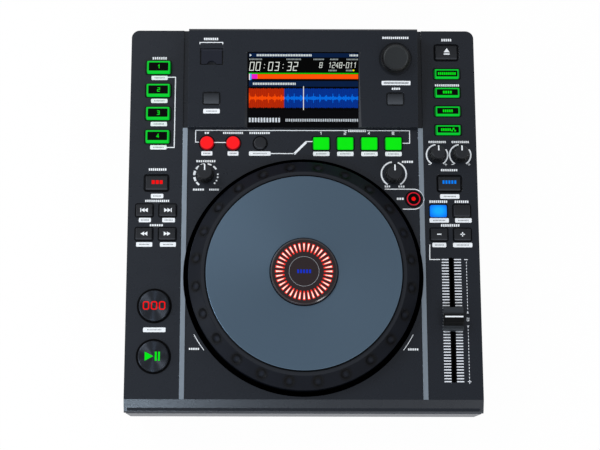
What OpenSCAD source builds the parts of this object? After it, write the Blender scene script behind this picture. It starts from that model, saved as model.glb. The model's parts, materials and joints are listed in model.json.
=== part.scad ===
// Tabletop media player for disc jockeys: a jog wheel turning on a hollow post,
// a sloping display deck, two columns of sprung buttons and a pitch fader.
// Millimetres. The origin is on the table under the middle of the player,
// +X to the user's right, +Y to the rear panel, +Z up.
// Places on the top plate are given as a distance behind its front edge.

/* [Case] */
// Margin between the outer buttons' flanges and the sides of the case
side_margin = 6.3; // [5.6:0.1:20]
// Margin between the buttons' flanges and the trim strips
trim_margin = 4; // [2:0.1:12]
// Plate behind the eject button's middle
rear_margin = 19.9; // [17:0.1:40]
// Plate behind the display deck
deck_margin = 5.05; // [3:0.05:30]
// Height of the top plate above the table
top_z = 62; // [56:1:80]
// Thickness of the top plate
plate_t = 3; // [2.5:0.1:4]
// Wall of the moulded shells
wall_t = 2.5; // [2:0.1:3]
// Height of the top case's outer lip
lip_h = 5; // [4:0.5:7]
// Depth of the sloping front bar
bar_d = 11; // [8:0.5:12]
// Drop of the front bar towards its front edge
bar_drop = 3.5; // [2:0.5:4]
// Radius of the rear corners
rear_corner_r = 7; // [3:0.5:12]
// How far the base tray's sides stand in from the top case
tray_inset = 1.5; // [1:0.1:2.5]
// How far the base tray's face stands out in front of the bar
face_proud = 0.4; // [0.2:0.1:2]
// How far the rear panel stands in from the rear edge
rear_inset = 2.4; // [1:0.1:4]
// Height of the groove between the top case and the base tray
shadow_gap = 1.5; // [1:0.1:2.5]
// Radius of the base tray's lower edges
tray_r = 6; // [3:0.5:8]
// Height of the rubber feet
foot_h = 8; // [5:0.5:12]
// Radius of the rubber feet
foot_r = 10; // [7:0.5:14]

/* [Panel] */
// How far the jog wheel's well bites into each trim strip
trim_bite = 2.1; // [1:0.1:2.6]
// Width of a trim strip
trim_w = 4.1; // [3:0.1:5]
// How far a trim strip stands above the plate
trim_rise = 0.5; // [0.2:0.1:1]
// Depth of the groove that holds a trim strip
trim_seat = 1; // [0.6:0.1:1.5]
// Radius of the lobe that surrounds the slip button
lobe_r = 9; // [8:0.1:9.2]

/* [Jog wheel] */
// Plate between the front bar and the jog wheel's well
well_margin = 2.2; // [1:0.1:10]
// Radius of the round well in the top case
well_r = 102.2; // [100:0.1:103]
// Depth of the well's floor below the plate
dish_depth = 8; // [6:0.5:12]
// Gap between the wheel's rim and the well
rim_gap = 4.6; // [3:0.1:6]
// Height of the rim's outer shoulder above the plate
rim_shoulder = 10; // [7:0.5:12]
// Height of the rim's flat land above the plate
rim_top = 20; // [18:0.5:24]
// Width of the rim round the touch plate
rim_band = 15.1; // [13:0.1:18]
// Height of the touch plate above the rim's land
jog_plate_rise = 2; // [1:0.5:3]
// Thickness of the touch plate
jog_plate_t = 3; // [2:0.5:4]
// Number of finger dimples in the rim
dimple_n = 24; // [12:1:30]
// Width of a finger dimple
dimple_w = 9.4; // [6:0.2:10]
// Depth of a finger dimple
dimple_depth = 1.5; // [0.8:0.1:2]
// Radius of the centre display
hub_display_r = 28.2; // [24:0.2:30]
// Height of the centre display above the touch plate
hub_display_rise = 2.5; // [1:0.5:4]
// Radius of the fixed hollow post
post_r = 14; // [12:0.5:15]
// Bore of the post for the display's wires
post_bore_r = 9; // [6:0.5:10]
// Outer radius of the bearing
bearing_r = 20; // [18:0.5:21]
// Width of the bearing
bearing_w = 10; // [8:0.5:11]

/* [Display deck] */
// Distance of the deck's front edge behind the middle of the loop buttons
deck_gap = 13.6; // [10:0.1:20]
// Depth of the deck, front to rear
deck_d = 83.9; // [82:0.1:85]
// Height of the deck's front edge above the plate
deck_front_h = 4.5; // [4:0.1:6]
// Height of the deck's rear edge above the plate
deck_rear_h = 20; // [15:0.1:22]
// How far each side wall of the deck leans in at the top
deck_lean = 1.2; // [1:0.1:4]
// Width of the display window
glass_w = 96.5; // [90:0.5:100]
// Length of the display window along the glass
glass_l = 65.5; // [60:0.5:66]
// Height of the glass above the plate at the deck's front edge
glass_front_h = 2; // [1.8:0.1:2.5]
// Thickness of the glass
glass_t = 1.2; // [1:0.1:1.6]
// Diameter of the browse knob's top
browse_top_d = 22.2; // [20:0.2:24]
// Height of the browse knob
browse_h = 8; // [6:0.5:18]
// Width and length of the memory and back buttons
deck_btn_w = 13.4; // [12:0.1:15]
// Length of the memory and back buttons
deck_btn_l = 9.4; // [8:0.1:11]
// Distance of the left deck controls from the deck's side
deck_left_in = 20.8; // [18:0.1:22]
// Distance of the right deck controls from the deck's side
deck_right_in = 20.1; // [18:0.1:22]

/* [Buttons] */
// Travel of every push button
travel = 1; // [0.6:0.1:1.2]
// Gap between a button and its hole
btn_gap = 0.3; // [0.2:0.05:0.5]
// Half the distance between two paired buttons
pair_half = 10; // [9.6:0.1:10.6]
// Width of a hot cue pad
pad_w = 20.8; // [18:0.1:22]
// Length of a hot cue pad
pad_l = 10.8; // [9:0.1:13]
// Height of a hot cue pad above the plate
pad_rise = 3.5; // [2:0.5:5]
// Distance from one hot cue pad to the next
pad_pitch = 20.93; // [18:0.01:21]
// Width of a source button
source_w = 21.9; // [20:0.1:23]
// Length of a source button
source_l = 8.3; // [7:0.1:10]
// Distance from one source button to the next
source_pitch = 16.95; // [14:0.05:17]
// Width of the small buttons
small_w = 14; // [12:0.1:15]
// Length of the small buttons
small_l = 10.1; // [8:0.1:12]
// Width of the sunk buttons: eject, reverse and jog mode
mode_w = 18.8; // [16:0.1:20]
// Length of the sunk buttons
mode_l = 12.3; // [10:0.1:13]
// Depth of the pockets round the sunk buttons
pocket_depth = 1.2; // [0.8:0.1:1.5]
// Diameter of the cue and play buttons
play_d = 25.8; // [22:0.2:27]
// Width of the sunk ring round the cue and play buttons
play_ring = 1.3; // [1:0.1:1.6]
// Diameter of the loop in and loop out buttons
loop_d = 12; // [10:0.2:13]
// Diameter of the reloop button
reloop_d = 10.9; // [9:0.1:12]
// Diameter of the slip button
slip_d = 12.2; // [10:0.1:13]
// Length of the auto loop buttons
auto_l = 10.5; // [9:0.1:12]
// Distance from one auto loop button to the next
auto_pitch = 20.85; // [18:0.05:21]

/* [Knobs and fader] */
// Radius of the jog adjust and filter knobs at the top
knob_r = 6.6; // [5.5:0.1:7.2]
// Height of the jog adjust and filter knobs
knob_h = 13; // [10:0.5:16]
// Radius of the start time and stop time knobs at the top
time_knob_r = 5.9; // [5:0.1:6.4]
// Radius of the knobs' shafts
shaft_r = 3; // [2.5:0.1:3.2]
// Radial running clearance of a shaft in its bush
shaft_gap = 0.05; // [0.02:0.01:0.08]
// Travel of the pitch fader from one end to the other
fader_travel = 100; // [60:1:104]
// Width of the fader's slot
slot_w = 3.8; // [3:0.1:4.2]
// Width of the fader cap
fader_cap_w = 16.4; // [14:0.1:18]
// Length of the fader cap
fader_cap_l = 20.4; // [17:0.1:22]
// Height of the fader cap
fader_cap_h = 9.5; // [8:0.5:12]

/* [Rear panel] */
// Thickness of the rear panel
rear_t = 1.2; // [1:0.1:2]
// How far the phono sockets stand out of the rear panel
jack_reach = 9; // [8:0.5:10]
// Radius of a phono socket's barrel
phono_r = 4.15; // [4.1:0.05:4.2]
// Height of the rear sockets' middle line above the table
jack_z = 30; // [28.5:0.5:34]

/* [Hidden] */
$fn = 48;
slack = 0.2;                 // fits between fixed pieces
eps = 0.01;
flange_t = 1.2;
flange_out = 1;

// rows of controls, as distances behind the front edge
play_front = 35.6;
play_pitch = 42.85;
fader_front = 5.5;
fader_spare = 24;
fader_body_l = fader_travel + fader_spare;
fader_v = bar_d + fader_front + fader_body_l / 2;
play_v = bar_d + play_front;
cue_v = play_v + play_pitch;
search_v = fader_v + fader_body_l / 2 + flange_out + small_l / 2 + 4.95;
track_v = search_v + 20.6;
mode_v = track_v + 24.2;
time_v = mode_v + 25.3;
pad_v = mode_v + 41.1;
source_v = time_v + 22.45;
eject_v = source_v + 3 * source_pitch + 19.6;
jog_v = bar_d + well_margin + well_r;
loop_v = jog_v + well_r + 14.25;
deck_v = loop_v + deck_gap;
case_d = max(deck_v + deck_d + deck_margin, eject_v + rear_margin);

// widths, from the middle out
panel_w = 2 * (well_r - trim_bite);
trim_x = panel_w / 2;
column_in = side_margin + flange_out + small_w / 2 + pair_half;
case_w = panel_w + 2 * (trim_w + trim_margin + flange_out + small_w / 2 + pair_half + column_in);
overall_d = face_proud + case_d - rear_inset + jack_reach;
function yv(v) = v + face_proud - overall_d / 2;

rim_seat = 0.5;
nose_d = 1.2;
nose_low = min(bar_drop + 0.9, lip_h - 0.4);
tray_w = case_w - 2 * tray_inset;
tray_top = top_z - lip_h - shadow_gap;
tray_front_v = -face_proud;
tray_rear_v = case_d - rear_inset;
floor_z = foot_h + wall_t;

// levels under the plate, measured down from its top face
board_drop = 12;
board_t = 1.6;
switch_h = 4;
switch_nub = 1.4;
stem_end = board_drop - switch_h - switch_nub - travel - slack;
stem_r = 1.8;

// case screws: M3, from deep holes in the tray's towers into the case's bosses
screw_r = 1.5;
screw_head_r = 2.8;
screw_head_h = 2;
screw_grip = 10;
screw_bite = 8;
tower_r = 4.5;
tower_split = 14;
tower_in = tray_inset + wall_t + tower_r + slack;
tower_v = [bar_d + 6, (cue_v + search_v) / 2, (mode_v + time_v) / 2, case_d - 18];
tower_mid_x = trim_x - 12.1;
tower_mid_v = bar_d + 10;
towers = concat(
  [for (s = [-1, 1], v = tower_v) [s * (case_w / 2 - tower_in), v]],
  [for (s = [-1, 1]) [s * tower_mid_x, tower_mid_v]]);

// controls on the middle panel and the deck
loop_x = [16.85 - trim_x, 39.55 - trim_x];
reloop_x = 63.05 - trim_x;
auto_x = trim_x - 21.65 - 3 * auto_pitch;
slip_x = trim_x - 5.15;
slip_reach = well_r + slip_d / 2 + 8;
slip_v = jog_v + sqrt(slip_reach * slip_reach - slip_x * slip_x);
knob_v = loop_v - 28.15;
jog_adjust_x = 15.7 - trim_x;
filter_x = trim_x - 21.8;
deck_left_x = trim_x - deck_left_in;
deck_right_x = trim_x - deck_right_in;
memory_s = 24.6;
browse_s = deck_d - 24.8;
usb_s = deck_d - 23;
col_l = -case_w / 2 + column_in;
col_r = case_w / 2 - column_in;

// a button is [x, v, width, length, corner radius, rise, extra width of its pocket]
small_rise = 1.8;
small_r = 1.2;
mode_pocket = 3.8;
function small(x, v) = [x, v, small_w, small_l, small_r, small_rise, 0];
function sunk(x, v) = [x, v, mode_w, mode_l, 1, 0.6, mode_pocket];
function round_btn(x, v, d, rise, ring = 0) = [x, v, d, d, d / 2, rise, ring];
function pad(i) = [col_l, pad_v + (4 - i) * pad_pitch, pad_w, pad_l, 1.6, pad_rise, 0];
function source(i) = [col_r, source_v + i * source_pitch, source_w, source_l, 1.4, 2, 0];
function auto_btn(i) = [auto_x + i * auto_pitch, loop_v, small_w, auto_l, small_r, 2, 0];
reverse_b = sunk(col_l, mode_v);
jog_mode_b = sunk(col_r, mode_v);
eject_b = sunk(col_r, eject_v);
track_prev_b = small(col_l - pair_half, track_v);
track_next_b = small(col_l + pair_half, track_v);
search_back_b = small(col_l - pair_half, search_v);
search_fwd_b = small(col_l + pair_half, search_v);
key_lock_b = small(col_r - pair_half, track_v);
tap_b = small(col_r + pair_half, track_v);
pitch_minus_b = small(col_r - pair_half, search_v);
pitch_plus_b = small(col_r + pair_half, search_v);
cue_b = round_btn(col_l, cue_v, play_d, 3, 2 * play_ring);
play_b = round_btn(col_l, play_v, play_d, 3, 2 * play_ring);
loop_in_b = round_btn(loop_x[0], loop_v, loop_d, 2.5);
loop_out_b = round_btn(loop_x[1], loop_v, loop_d, 2.5);
reloop_b = round_btn(reloop_x, loop_v, reloop_d, 2);
slip_b = round_btn(slip_x, slip_v, slip_d, 1.5);
plate_buttons = concat(
  [for (i = [1:4]) pad(i)], [for (i = [0:3]) source(i)], [for (i = [0:3]) auto_btn(i)],
  [reverse_b, jog_mode_b, eject_b, track_prev_b, track_next_b, search_back_b, search_fwd_b,
   key_lock_b, tap_b, pitch_minus_b, pitch_plus_b, cue_b, play_b, loop_in_b, loop_out_b,
   reloop_b, slip_b]);
memory_b = [-deck_left_x, memory_s, deck_btn_w, deck_btn_l, 1, 0.8, 2.4];
back_b = [deck_right_x, memory_s - 0.2, deck_btn_w, deck_btn_l, 1, 0.8, 2.4];

// a knob is [x, v, top radius, height]
time_knob_h = 12;
knobs = [
  [jog_adjust_x, knob_v, knob_r, knob_h], [filter_x, knob_v, knob_r, knob_h],
  [col_r - pair_half, time_v, time_knob_r, time_knob_h],
  [col_r + pair_half, time_v, time_knob_r, time_knob_h]];
knob_lift = 0.6;
knob_flare = 1;
flute_n = 14;
bush_wall = 1;
bush_r = shaft_r + shaft_gap + bush_wall;
bush_hole_r = bush_r + slack;
pot_w = 10;
pot_h = 5;

fader_x = col_r;
fader_wall = 1;
fader_body_w = 9;
fader_body_h = 9;
blade_t = 1.2;
blade_w = 5;

// deck frame: origin on the deck's front edge, tilted to the deck's slope
deck_tilt = atan2(deck_rear_h - deck_front_h, deck_d);
deck_wall = 2.5;
deck_board_drop = 12;
glass_tilt = atan2(
  deck_front_h + glass_l * sin(deck_tilt) - glass_front_h, glass_l * cos(deck_tilt));
glass_tuck = 1.5;
module_t = 4;
module_w = glass_w + 6.5;
module_l = glass_l - 3;
usb_recess_w = 20.4;
usb_recess_l = 14.3;
usb_recess_depth = 2.4;
usb_flap_t = 1.4;
usb_flap_w = 17.8;
usb_flap_gap = 0.7;
usb_step_l = 3;
usb_pin_r = 0.7;
usb_pin_l = 1.6;
usb_axis_n = -1.1;
usb_barrel_r = 0.9;
usb_axis_s = usb_s + usb_recess_l / 2 - usb_barrel_r - 0.3;
usb_flap_l = usb_recess_l - usb_barrel_r - 0.3 - usb_flap_gap;
usb_shell_w = 13.1;
usb_shell_l = 5.7;
browse_shaft_end = 10;
browse_travel = 0.5;

// jog stack, measured from the plate's top face
rim_r = well_r - rim_gap;
jog_plate_r = rim_r - rim_band;
rim_bottom = -dish_depth + 1.5;
land_w = 3;
land_r = jog_plate_r + 0.9;
web_top = rim_top + jog_plate_rise - jog_plate_t;
head_gap = 0.4;
head_bottom = web_top - 3;
hub_flange_t = 3;
hub_flange_r = 48;
shoulder_r = post_r + 2.5;
shoulder_z = -dish_depth + hub_flange_t + 3;
sleeve_r = bearing_r + 5;
sleeve_bottom = -dish_depth + hub_flange_t + 0.3;
encoder_r = 46;
encoder_z = shoulder_z + 2;
encoder_t = 1;
encoder_slots = 36;
dish_t = 2.5;
hub_screw_r = sleeve_r + 3;
hub_screw_n = 4;

case_black = [0.16, 0.175, 0.19];
part_black = [0.09, 0.095, 0.105];
board_green = [0.05, 0.3, 0.16];
steel = [0.62, 0.64, 0.67];
lit_green = [0.1, 0.85, 0.3];
lit_red = [0.95, 0.12, 0.1];
lit_blue = [0.1, 0.5, 0.95];

// ---------------------------------------------------------------- frames

// a place on the top plate, z = 0 on its top face
module at_plate(x, v) translate([x, yv(v), top_z]) children();

// a place on the sloping deck, s along the slope, z = 0 on its surface
module on_deck(x, s)
  translate([0, yv(deck_v), top_z + deck_front_h]) rotate([deck_tilt, 0, 0])
    translate([x, s, 0]) children();

// a place on the display glass, z = 0 on its top face
module on_glass(x, s)
  translate([0, yv(deck_v), top_z + glass_front_h]) rotate([glass_tilt, 0, 0])
    translate([x, s, 0]) children();

// a place on the rear panel's outer face, z = 0 on the face and pointing out
module on_rear(x, z)
  translate([x, yv(tray_rear_v), z]) rotate([-90, 0, 0]) children();

// ---------------------------------------------------------------- shapes

module rounded(w, l, r) {
  square([w, l - 2 * r], center = true);
  square([w - 2 * r, l], center = true);
  for (x = [-1, 1], y = [-1, 1])
    translate([x * (w / 2 - r), y * (l / 2 - r)]) circle(r);
}

module block(w, l, r, h) linear_extrude(h) rounded(w, l, r);

// a solid with the profile [y, z] points running along X
module along_x(w, points)
  translate([-w / 2, 0, 0]) rotate([90, 0, 90]) linear_extrude(w) polygon(points);

// a solid with the profile [x, z] points running along Y
module along_y(l, points)
  translate([0, l / 2, 0]) rotate([90, 0, 0]) linear_extrude(l) polygon(points);

function chamfer_points(w, h, c) =
  [[-w / 2, 0], [w / 2, 0], [w / 2, h - c], [w / 2 - c, h], [-w / 2 + c, h], [-w / 2, h - c]];

// a block with chamfered top edges
module chamfered(w, l, r, h, c) intersection() {
  block(w, l, r, h);
  along_y(l + 2, chamfer_points(w, h, c));
  along_x(w + 2, chamfer_points(l, h, c));
}

module ring(outer, inner, h) difference() {
  cylinder(r = outer, h = h);
  translate([0, 0, -1]) cylinder(r = inner, h = h + 2);
}

// a push button: cap, the flange that holds it under its plate, and its stem
cap_chamfer = 0.5;
module button(b, thick = plate_t, end = stem_end) {
  root = thick + slack;
  if (b[4] * 2 == b[2])
    rotate_extrude() polygon([
      [0, -root], [b[2] / 2, -root], [b[2] / 2, b[5] - 2 * cap_chamfer],
      [b[2] / 2 - 0.3 * cap_chamfer, b[5] - cap_chamfer],
      [b[2] / 2 - cap_chamfer, b[5] - 0.3 * cap_chamfer],
      [b[2] / 2 - 2 * cap_chamfer, b[5]], [0, b[5]]]);
  else
    translate([0, 0, -root]) chamfered(b[2], b[3], b[4], b[5] + root, cap_chamfer);
  translate([0, 0, -root - flange_t])
    block(b[2] + 2 * flange_out, b[3] + 2 * flange_out, b[4] + flange_out - eps, flange_t);
  translate([0, 0, -end]) cylinder(r = stem_r, h = end - root);
}

module plate_button(b) at_plate(b[0], b[1]) button(b);

// a lit pad: the same button with a sunk label window in its top
window_depth = 0.3;
module window_button(b, border_w, border_l) at_plate(b[0], b[1]) difference() {
  button(b);
  translate([0, 0, b[5] - window_depth])
    block(b[2] - 2 * border_w, b[3] - 2 * border_l, 0.6, 1);
}

module button_hole(b) translate([0, 0, -30]) {
  block(b[2] + 2 * btn_gap, b[3] + 2 * btn_gap, b[4] + btn_gap - eps, 60);
  if (b[6] > 0)
    translate([0, 0, 30 - pocket_depth])
      block(b[2] + b[6], b[3] + b[6], min(b[4] + b[6] / 2 - eps, b[2]), 40);
}

module switch_block() translate([0, 0, -board_drop]) {
  translate([-3, -3, 0]) cube([6, 6, switch_h]);
  cylinder(r = 1.6, h = switch_h + switch_nub);
}

// ---------------------------------------------------------------- case

// plan of the top case, square at the front and rounded at the rear
module case_plan() difference() {
  translate([-case_w / 2, yv(0)]) square([case_w, case_d]);
  for (s = [-1, 1]) translate([s * (case_w / 2 - rear_corner_r), yv(case_d - rear_corner_r)])
    difference() {
      translate([s > 0 ? 0 : -rear_corner_r - 1, 0]) square(rear_corner_r + 1);
      circle(rear_corner_r);
    }
}

module case_frame(out, inner, front_in, z0, z1) difference() {
  translate([0, yv(case_d / 2), z0])
    linear_extrude(z1 - z0) square([case_w - 2 * out, case_d - 2 * out], center = true);
  translate([-case_w / 2 + inner, yv(front_in), z0 - 1])
    cube([case_w - 2 * inner, case_d - inner - front_in, z1 - z0 + 2]);
}

module trim_plan(grow) difference() {
  for (s = [-1, 1])
    translate([s * (trim_x + trim_w / 2), yv((bar_d + deck_v) / 2)])
      square([trim_w + 2 * grow, deck_v - bar_d + 2 * grow], center = true);
  translate([0, yv(jog_v)]) circle(well_r + (grow > 0 ? -1 : 0), $fn = 96);
  translate([slip_x, yv(slip_v)]) circle(lobe_r - grow);
}

boss_x = well_r + wall_t + 3.9;
mid_v = (mode_v + time_v) / 2;
board_bosses = [
  [-boss_x, play_v - 17.9], [-boss_x, (play_v + cue_v) / 2], [-boss_x, (cue_v + search_v) / 2 + 10],
  [-boss_x, mid_v], [-boss_x, case_d - 12], [boss_x, search_v - 9.2], [boss_x, mid_v],
  [boss_x, case_d - 12], [(reloop_x + auto_x) / 2, loop_v],
  [-trim_x + 4.1, loop_v - 18.4], [trim_x - 4.1, loop_v - 18.4]];
boss_r = 2.2;

module top_case() color(case_black) difference() {
  union() {
    difference() {
      intersection() {
        translate([0, 0, top_z - lip_h]) linear_extrude(lip_h) case_plan();
        translate([0, yv(0), top_z]) along_x(case_w, [
          [0, -lip_h], [0, -nose_low], [nose_d, -bar_drop], [bar_d, 0], [case_d, 0],
          [case_d, -lip_h]]);
      }
      translate([-case_w / 2 + wall_t, yv(bar_d), top_z - lip_h - 1])
        cube([case_w - 2 * wall_t, case_d - bar_d - wall_t, lip_h - plate_t + 1]);
    }
    // rim that seats on the base tray's wall
    difference() {
      translate([-case_w / 2 + wall_t + 0.5, yv(tray_front_v + wall_t - rim_seat), tray_top])
        cube([case_w - 2 * wall_t - 1, case_d - rear_inset - rear_t / 2 - tray_front_v - wall_t + rim_seat,
              lip_h + shadow_gap - plate_t + 0.5]);
      translate([-case_w / 2 + 2 * wall_t + 0.5, yv(2 * wall_t), tray_top - 1])
        cube([case_w - 4 * wall_t - 1, tray_rear_v - 3 * wall_t - rear_t, 20]);
    }
    at_plate(0, jog_v) translate([0, 0, -dish_depth - dish_t])
      cylinder(r = well_r + wall_t, h = dish_depth + dish_t - 1, $fn = 96);
    for (t = towers) at_plate(t[0], t[1])
      translate([0, 0, -tower_split]) cylinder(r = tower_r, h = tower_split - plate_t + 0.5);
    for (b = board_bosses) at_plate(b[0], b[1])
      translate([0, 0, -board_drop]) cylinder(r = boss_r, h = board_drop - plate_t + 0.5);
  }
  // the jog wheel's well and the holes in its floor
  at_plate(0, jog_v) {
    translate([0, 0, -dish_depth]) cylinder(r = well_r, h = dish_depth + 1, $fn = 96);
    translate([0, 0, -dish_depth - dish_t - 1]) cylinder(r = post_bore_r, h = 20);
    for (i = [0:hub_screw_n - 1]) rotate(45 + i * 360 / hub_screw_n)
      translate([hub_screw_r, 0, -dish_depth - dish_t - 1]) cylinder(r = screw_r + 0.05, h = 20);
  }
  for (b = plate_buttons) at_plate(b[0], b[1]) button_hole(b);
  for (k = knobs) at_plate(k[0], k[1]) translate([0, 0, -20]) cylinder(r = bush_hole_r, h = 30);
  // the fader's slot
  at_plate(fader_x, fader_v) translate([0, 0, -20])
    block(slot_w, fader_travel + blade_w + 1.6, slot_w / 2 - eps, 30);
  // grooves for the trim strips, and the gap beside the deck
  translate([0, 0, top_z - trim_seat]) linear_extrude(5) trim_plan(0.1);
  for (s = [-1, 1])
    translate([s * (trim_x + trim_w / 2) - trim_w / 2 - 0.1, yv(deck_v), top_z - trim_seat])
      cube([trim_w + 0.2, case_d, 5]);
  // opening under the display deck
  translate([-trim_x + 4, yv(deck_v + deck_wall), top_z - plate_t - 1])
    cube([panel_w - 8, deck_d - deck_wall - 4, plate_t + 2]);
  for (t = towers) at_plate(t[0], t[1])
    translate([0, 0, -tower_split - 1]) cylinder(r = screw_r + 0.05, h = screw_bite + 1.5);
}

// the tray's outer form: rounded lower edges at the front and both sides
module tray_form(w, v0, v1, z0, z1, r) intersection() {
  translate([0, yv((v0 + v1) / 2), 0]) translate([0, (v1 - v0) / 2, 0]) rotate([90, 0, 0])
    linear_extrude(v1 - v0) union() {
      translate([-w / 2 + r, z0]) square([w - 2 * r, z1 - z0]);
      translate([-w / 2, z0 + r]) square([w, z1 - z0 - r]);
      for (s = [-1, 1]) translate([s * (w / 2 - r), z0 + r]) circle(r);
    }
  translate([-w / 2 - 1, 0, 0]) rotate([90, 0, 90]) linear_extrude(w + 2) union() {
    translate([yv(v0) + r, z0]) square([v1 - v0 - r, z1 - z0]);
    translate([yv(v0), z0 + r]) square([v1 - v0, z1 - z0 - r]);
    translate([yv(v0) + r, z0 + r]) circle(r);
  }
}

vent_n = 9;
standoff_h = 8;
board_x = [-case_w / 2 + 22, case_w / 2 - 88];
board_v = [case_d - 126, tray_rear_v - rear_t - 1.4];
rear_block_z = [24, 44];
module base_tray() color(steel) difference() {
  union() {
    difference() {
      tray_form(tray_w, tray_front_v, tray_rear_v, foot_h, tray_top, tray_r);
      tray_form(tray_w - 2 * wall_t, tray_front_v + wall_t, tray_rear_v + 5, floor_z,
                tray_top + 5, tray_r - wall_t);
    }
    for (t = towers) translate([t[0], yv(t[1]), floor_z - 1])
      cylinder(r = tower_r, h = top_z - tower_split - floor_z + 1);
    for (x = [board_x[0] + 8, board_x[1] - 8], v = [board_v[0] + 8, board_v[1] - 28])
      translate([x, yv(v), floor_z - 1]) cylinder(r = 3.5, h = standoff_h + 1);
    for (s = [-1, 1], z = rear_block_z)
      translate([s > 0 ? tray_w / 2 - wall_t - 8 : -tray_w / 2 + wall_t - 1,
                 yv(tray_rear_v - rear_t - 12), z - 4]) cube([9, 12, 8]);
  }
  for (t = towers) translate([t[0], yv(t[1]), 0]) {
    translate([0, 0, foot_h - 1])
      cylinder(r = screw_head_r + 0.4, h = top_z - tower_split - screw_grip - foot_h + 1);
    cylinder(r = screw_r + slack, h = top_z);
  }
  for (s = [-1, 1], z = rear_block_z)
    translate([s * (tray_w / 2 - wall_t - 4), yv(tray_rear_v) + 1, z])
      rotate([90, 0, 0]) cylinder(r = screw_r + 0.05, h = 10.2);
  // vents in the floor
  for (s = [-1, 1], i = [0:vent_n - 1])
    translate([s * 70, yv(60 + i * 9), 0])
      linear_extrude(floor_z + 1) rounded(60, 3, 1.4);
}

module rear_hole(w, l, r) translate([0, 0, -10]) block(w, l, r, 20);

inlet_x = case_w / 2 - 38;
rocker_x = case_w / 2 - 66;
phono_x = [-18, -38, -64];
rj_x = board_x[0] + 38;
usb_b_x = board_x[0] + 14;
phono_hole = 0.15;
phono_collar = 1.5;
collar_proud = 0.5;
rear_h = tray_top - floor_z;
module rear_panel() color(steel) difference() {
  on_rear(0, floor_z + rear_h / 2) translate([0, 0, -rear_t]) linear_extrude(rear_t) {
    rounded(tray_w - 2 * wall_t, rear_h, tray_r - wall_t);
    translate([-tray_w / 2 + wall_t, -rear_h / 2]) square([tray_w - 2 * wall_t, rear_h / 2]);
  }
  on_rear(inlet_x, jack_z) rear_hole(21.6, 13.6, 2);
  on_rear(rocker_x, jack_z) rear_hole(19.4, 13.2, 1);
  for (x = phono_x) on_rear(x, jack_z) translate([0, 0, -10]) cylinder(r = phono_r + phono_collar + phono_hole, h = 20);
  on_rear(rj_x, jack_z) rear_hole(16.4, 13.9, 0.5);
  on_rear(usb_b_x, jack_z) rear_hole(12.6, 11.4, 0.5);
  for (s = [-1, 1], z = rear_block_z)
    on_rear(s * (tray_w / 2 - wall_t - 4), z) translate([0, 0, -10])
      cylinder(r = screw_r + slack, h = 20);
  for (i = [0:vent_n - 1]) on_rear(4 + i * 7, jack_z + 3) rear_hole(3, 20, 1.4);
}

module feet() color(part_black)
  for (x = [-1, 1] * (case_w / 2 - 27), v = [27, case_d - 30])
    translate([x, yv(v), 0]) rotate_extrude() polygon([
      [0, 0], [foot_r - 1.2, 0], [foot_r, 1.2], [foot_r, foot_h - 2], [foot_r - 1, foot_h],
      [0, foot_h]]);

module pan_screw(grip, bite) {
  rotate_extrude() polygon([
    [0, -screw_head_h], [1, -screw_head_h], [1, -0.9 * screw_head_h + 1], [1.05, -screw_head_h],
    [screw_head_r - 0.7, -screw_head_h], [screw_head_r, -screw_head_h + 0.8],
    [screw_head_r, 0], [screw_r, 0], [screw_r, grip + bite - 1], [screw_r - 0.8, grip + bite],
    [0, grip + bite]]);
}

module case_screws() color(steel) {
  for (t = towers) translate([t[0], yv(t[1]), top_z - tower_split - screw_grip])
    pan_screw(screw_grip, screw_bite);
  for (s = [-1, 1], z = rear_block_z) on_rear(s * (tray_w / 2 - wall_t - 4), z)
    rotate([180, 0, 0]) pan_screw(rear_t, 6);
  at_plate(0, jog_v) for (i = [0:hub_screw_n - 1]) rotate(45 + i * 360 / hub_screw_n)
    translate([hub_screw_r, 0, -dish_depth + hub_flange_t]) rotate([180, 0, 0])
      pan_screw(hub_flange_t, dish_t + 1);
}

module trim_strips() color([0.55, 0.57, 0.6])
  translate([0, 0, top_z - trim_seat]) linear_extrude(trim_seat + trim_rise) trim_plan(0);

// ---------------------------------------------------------------- deck

module deck_block(front_in, side_in, top_in, z0) intersection() {
  translate([0, yv(deck_v), top_z]) along_x(panel_w + 2, [
    [front_in, z0], [front_in, deck_front_h + front_in * tan(deck_tilt) - top_in],
    [deck_d - front_in - 1.5, deck_front_h + (deck_d - front_in - 1.5) * tan(deck_tilt) - top_in],
    [deck_d - front_in, deck_front_h + (deck_d - front_in) * tan(deck_tilt) - top_in - 1.2],
    [deck_d - front_in, z0]]);
  translate([0, yv(deck_v + deck_d / 2), top_z]) along_y(deck_d + 2, [
    [-panel_w / 2 + side_in, z0], [panel_w / 2 - side_in, z0], [panel_w / 2 - side_in, 0],
    [panel_w / 2 - side_in - deck_lean, deck_rear_h + 1],
    [-panel_w / 2 + side_in + deck_lean, deck_rear_h + 1], [-panel_w / 2 + side_in, 0]]);
}

module deck_bosses()
  for (x = [-trim_x + 8.1, -trim_x + 38.1, trim_x - 38.1, trim_x - 8.1], s = [14, deck_d - 14.2])
    on_deck(x, s)
  translate([0, 0, -deck_board_drop]) cylinder(r = boss_r, h = deck_board_drop - 1);

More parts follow.
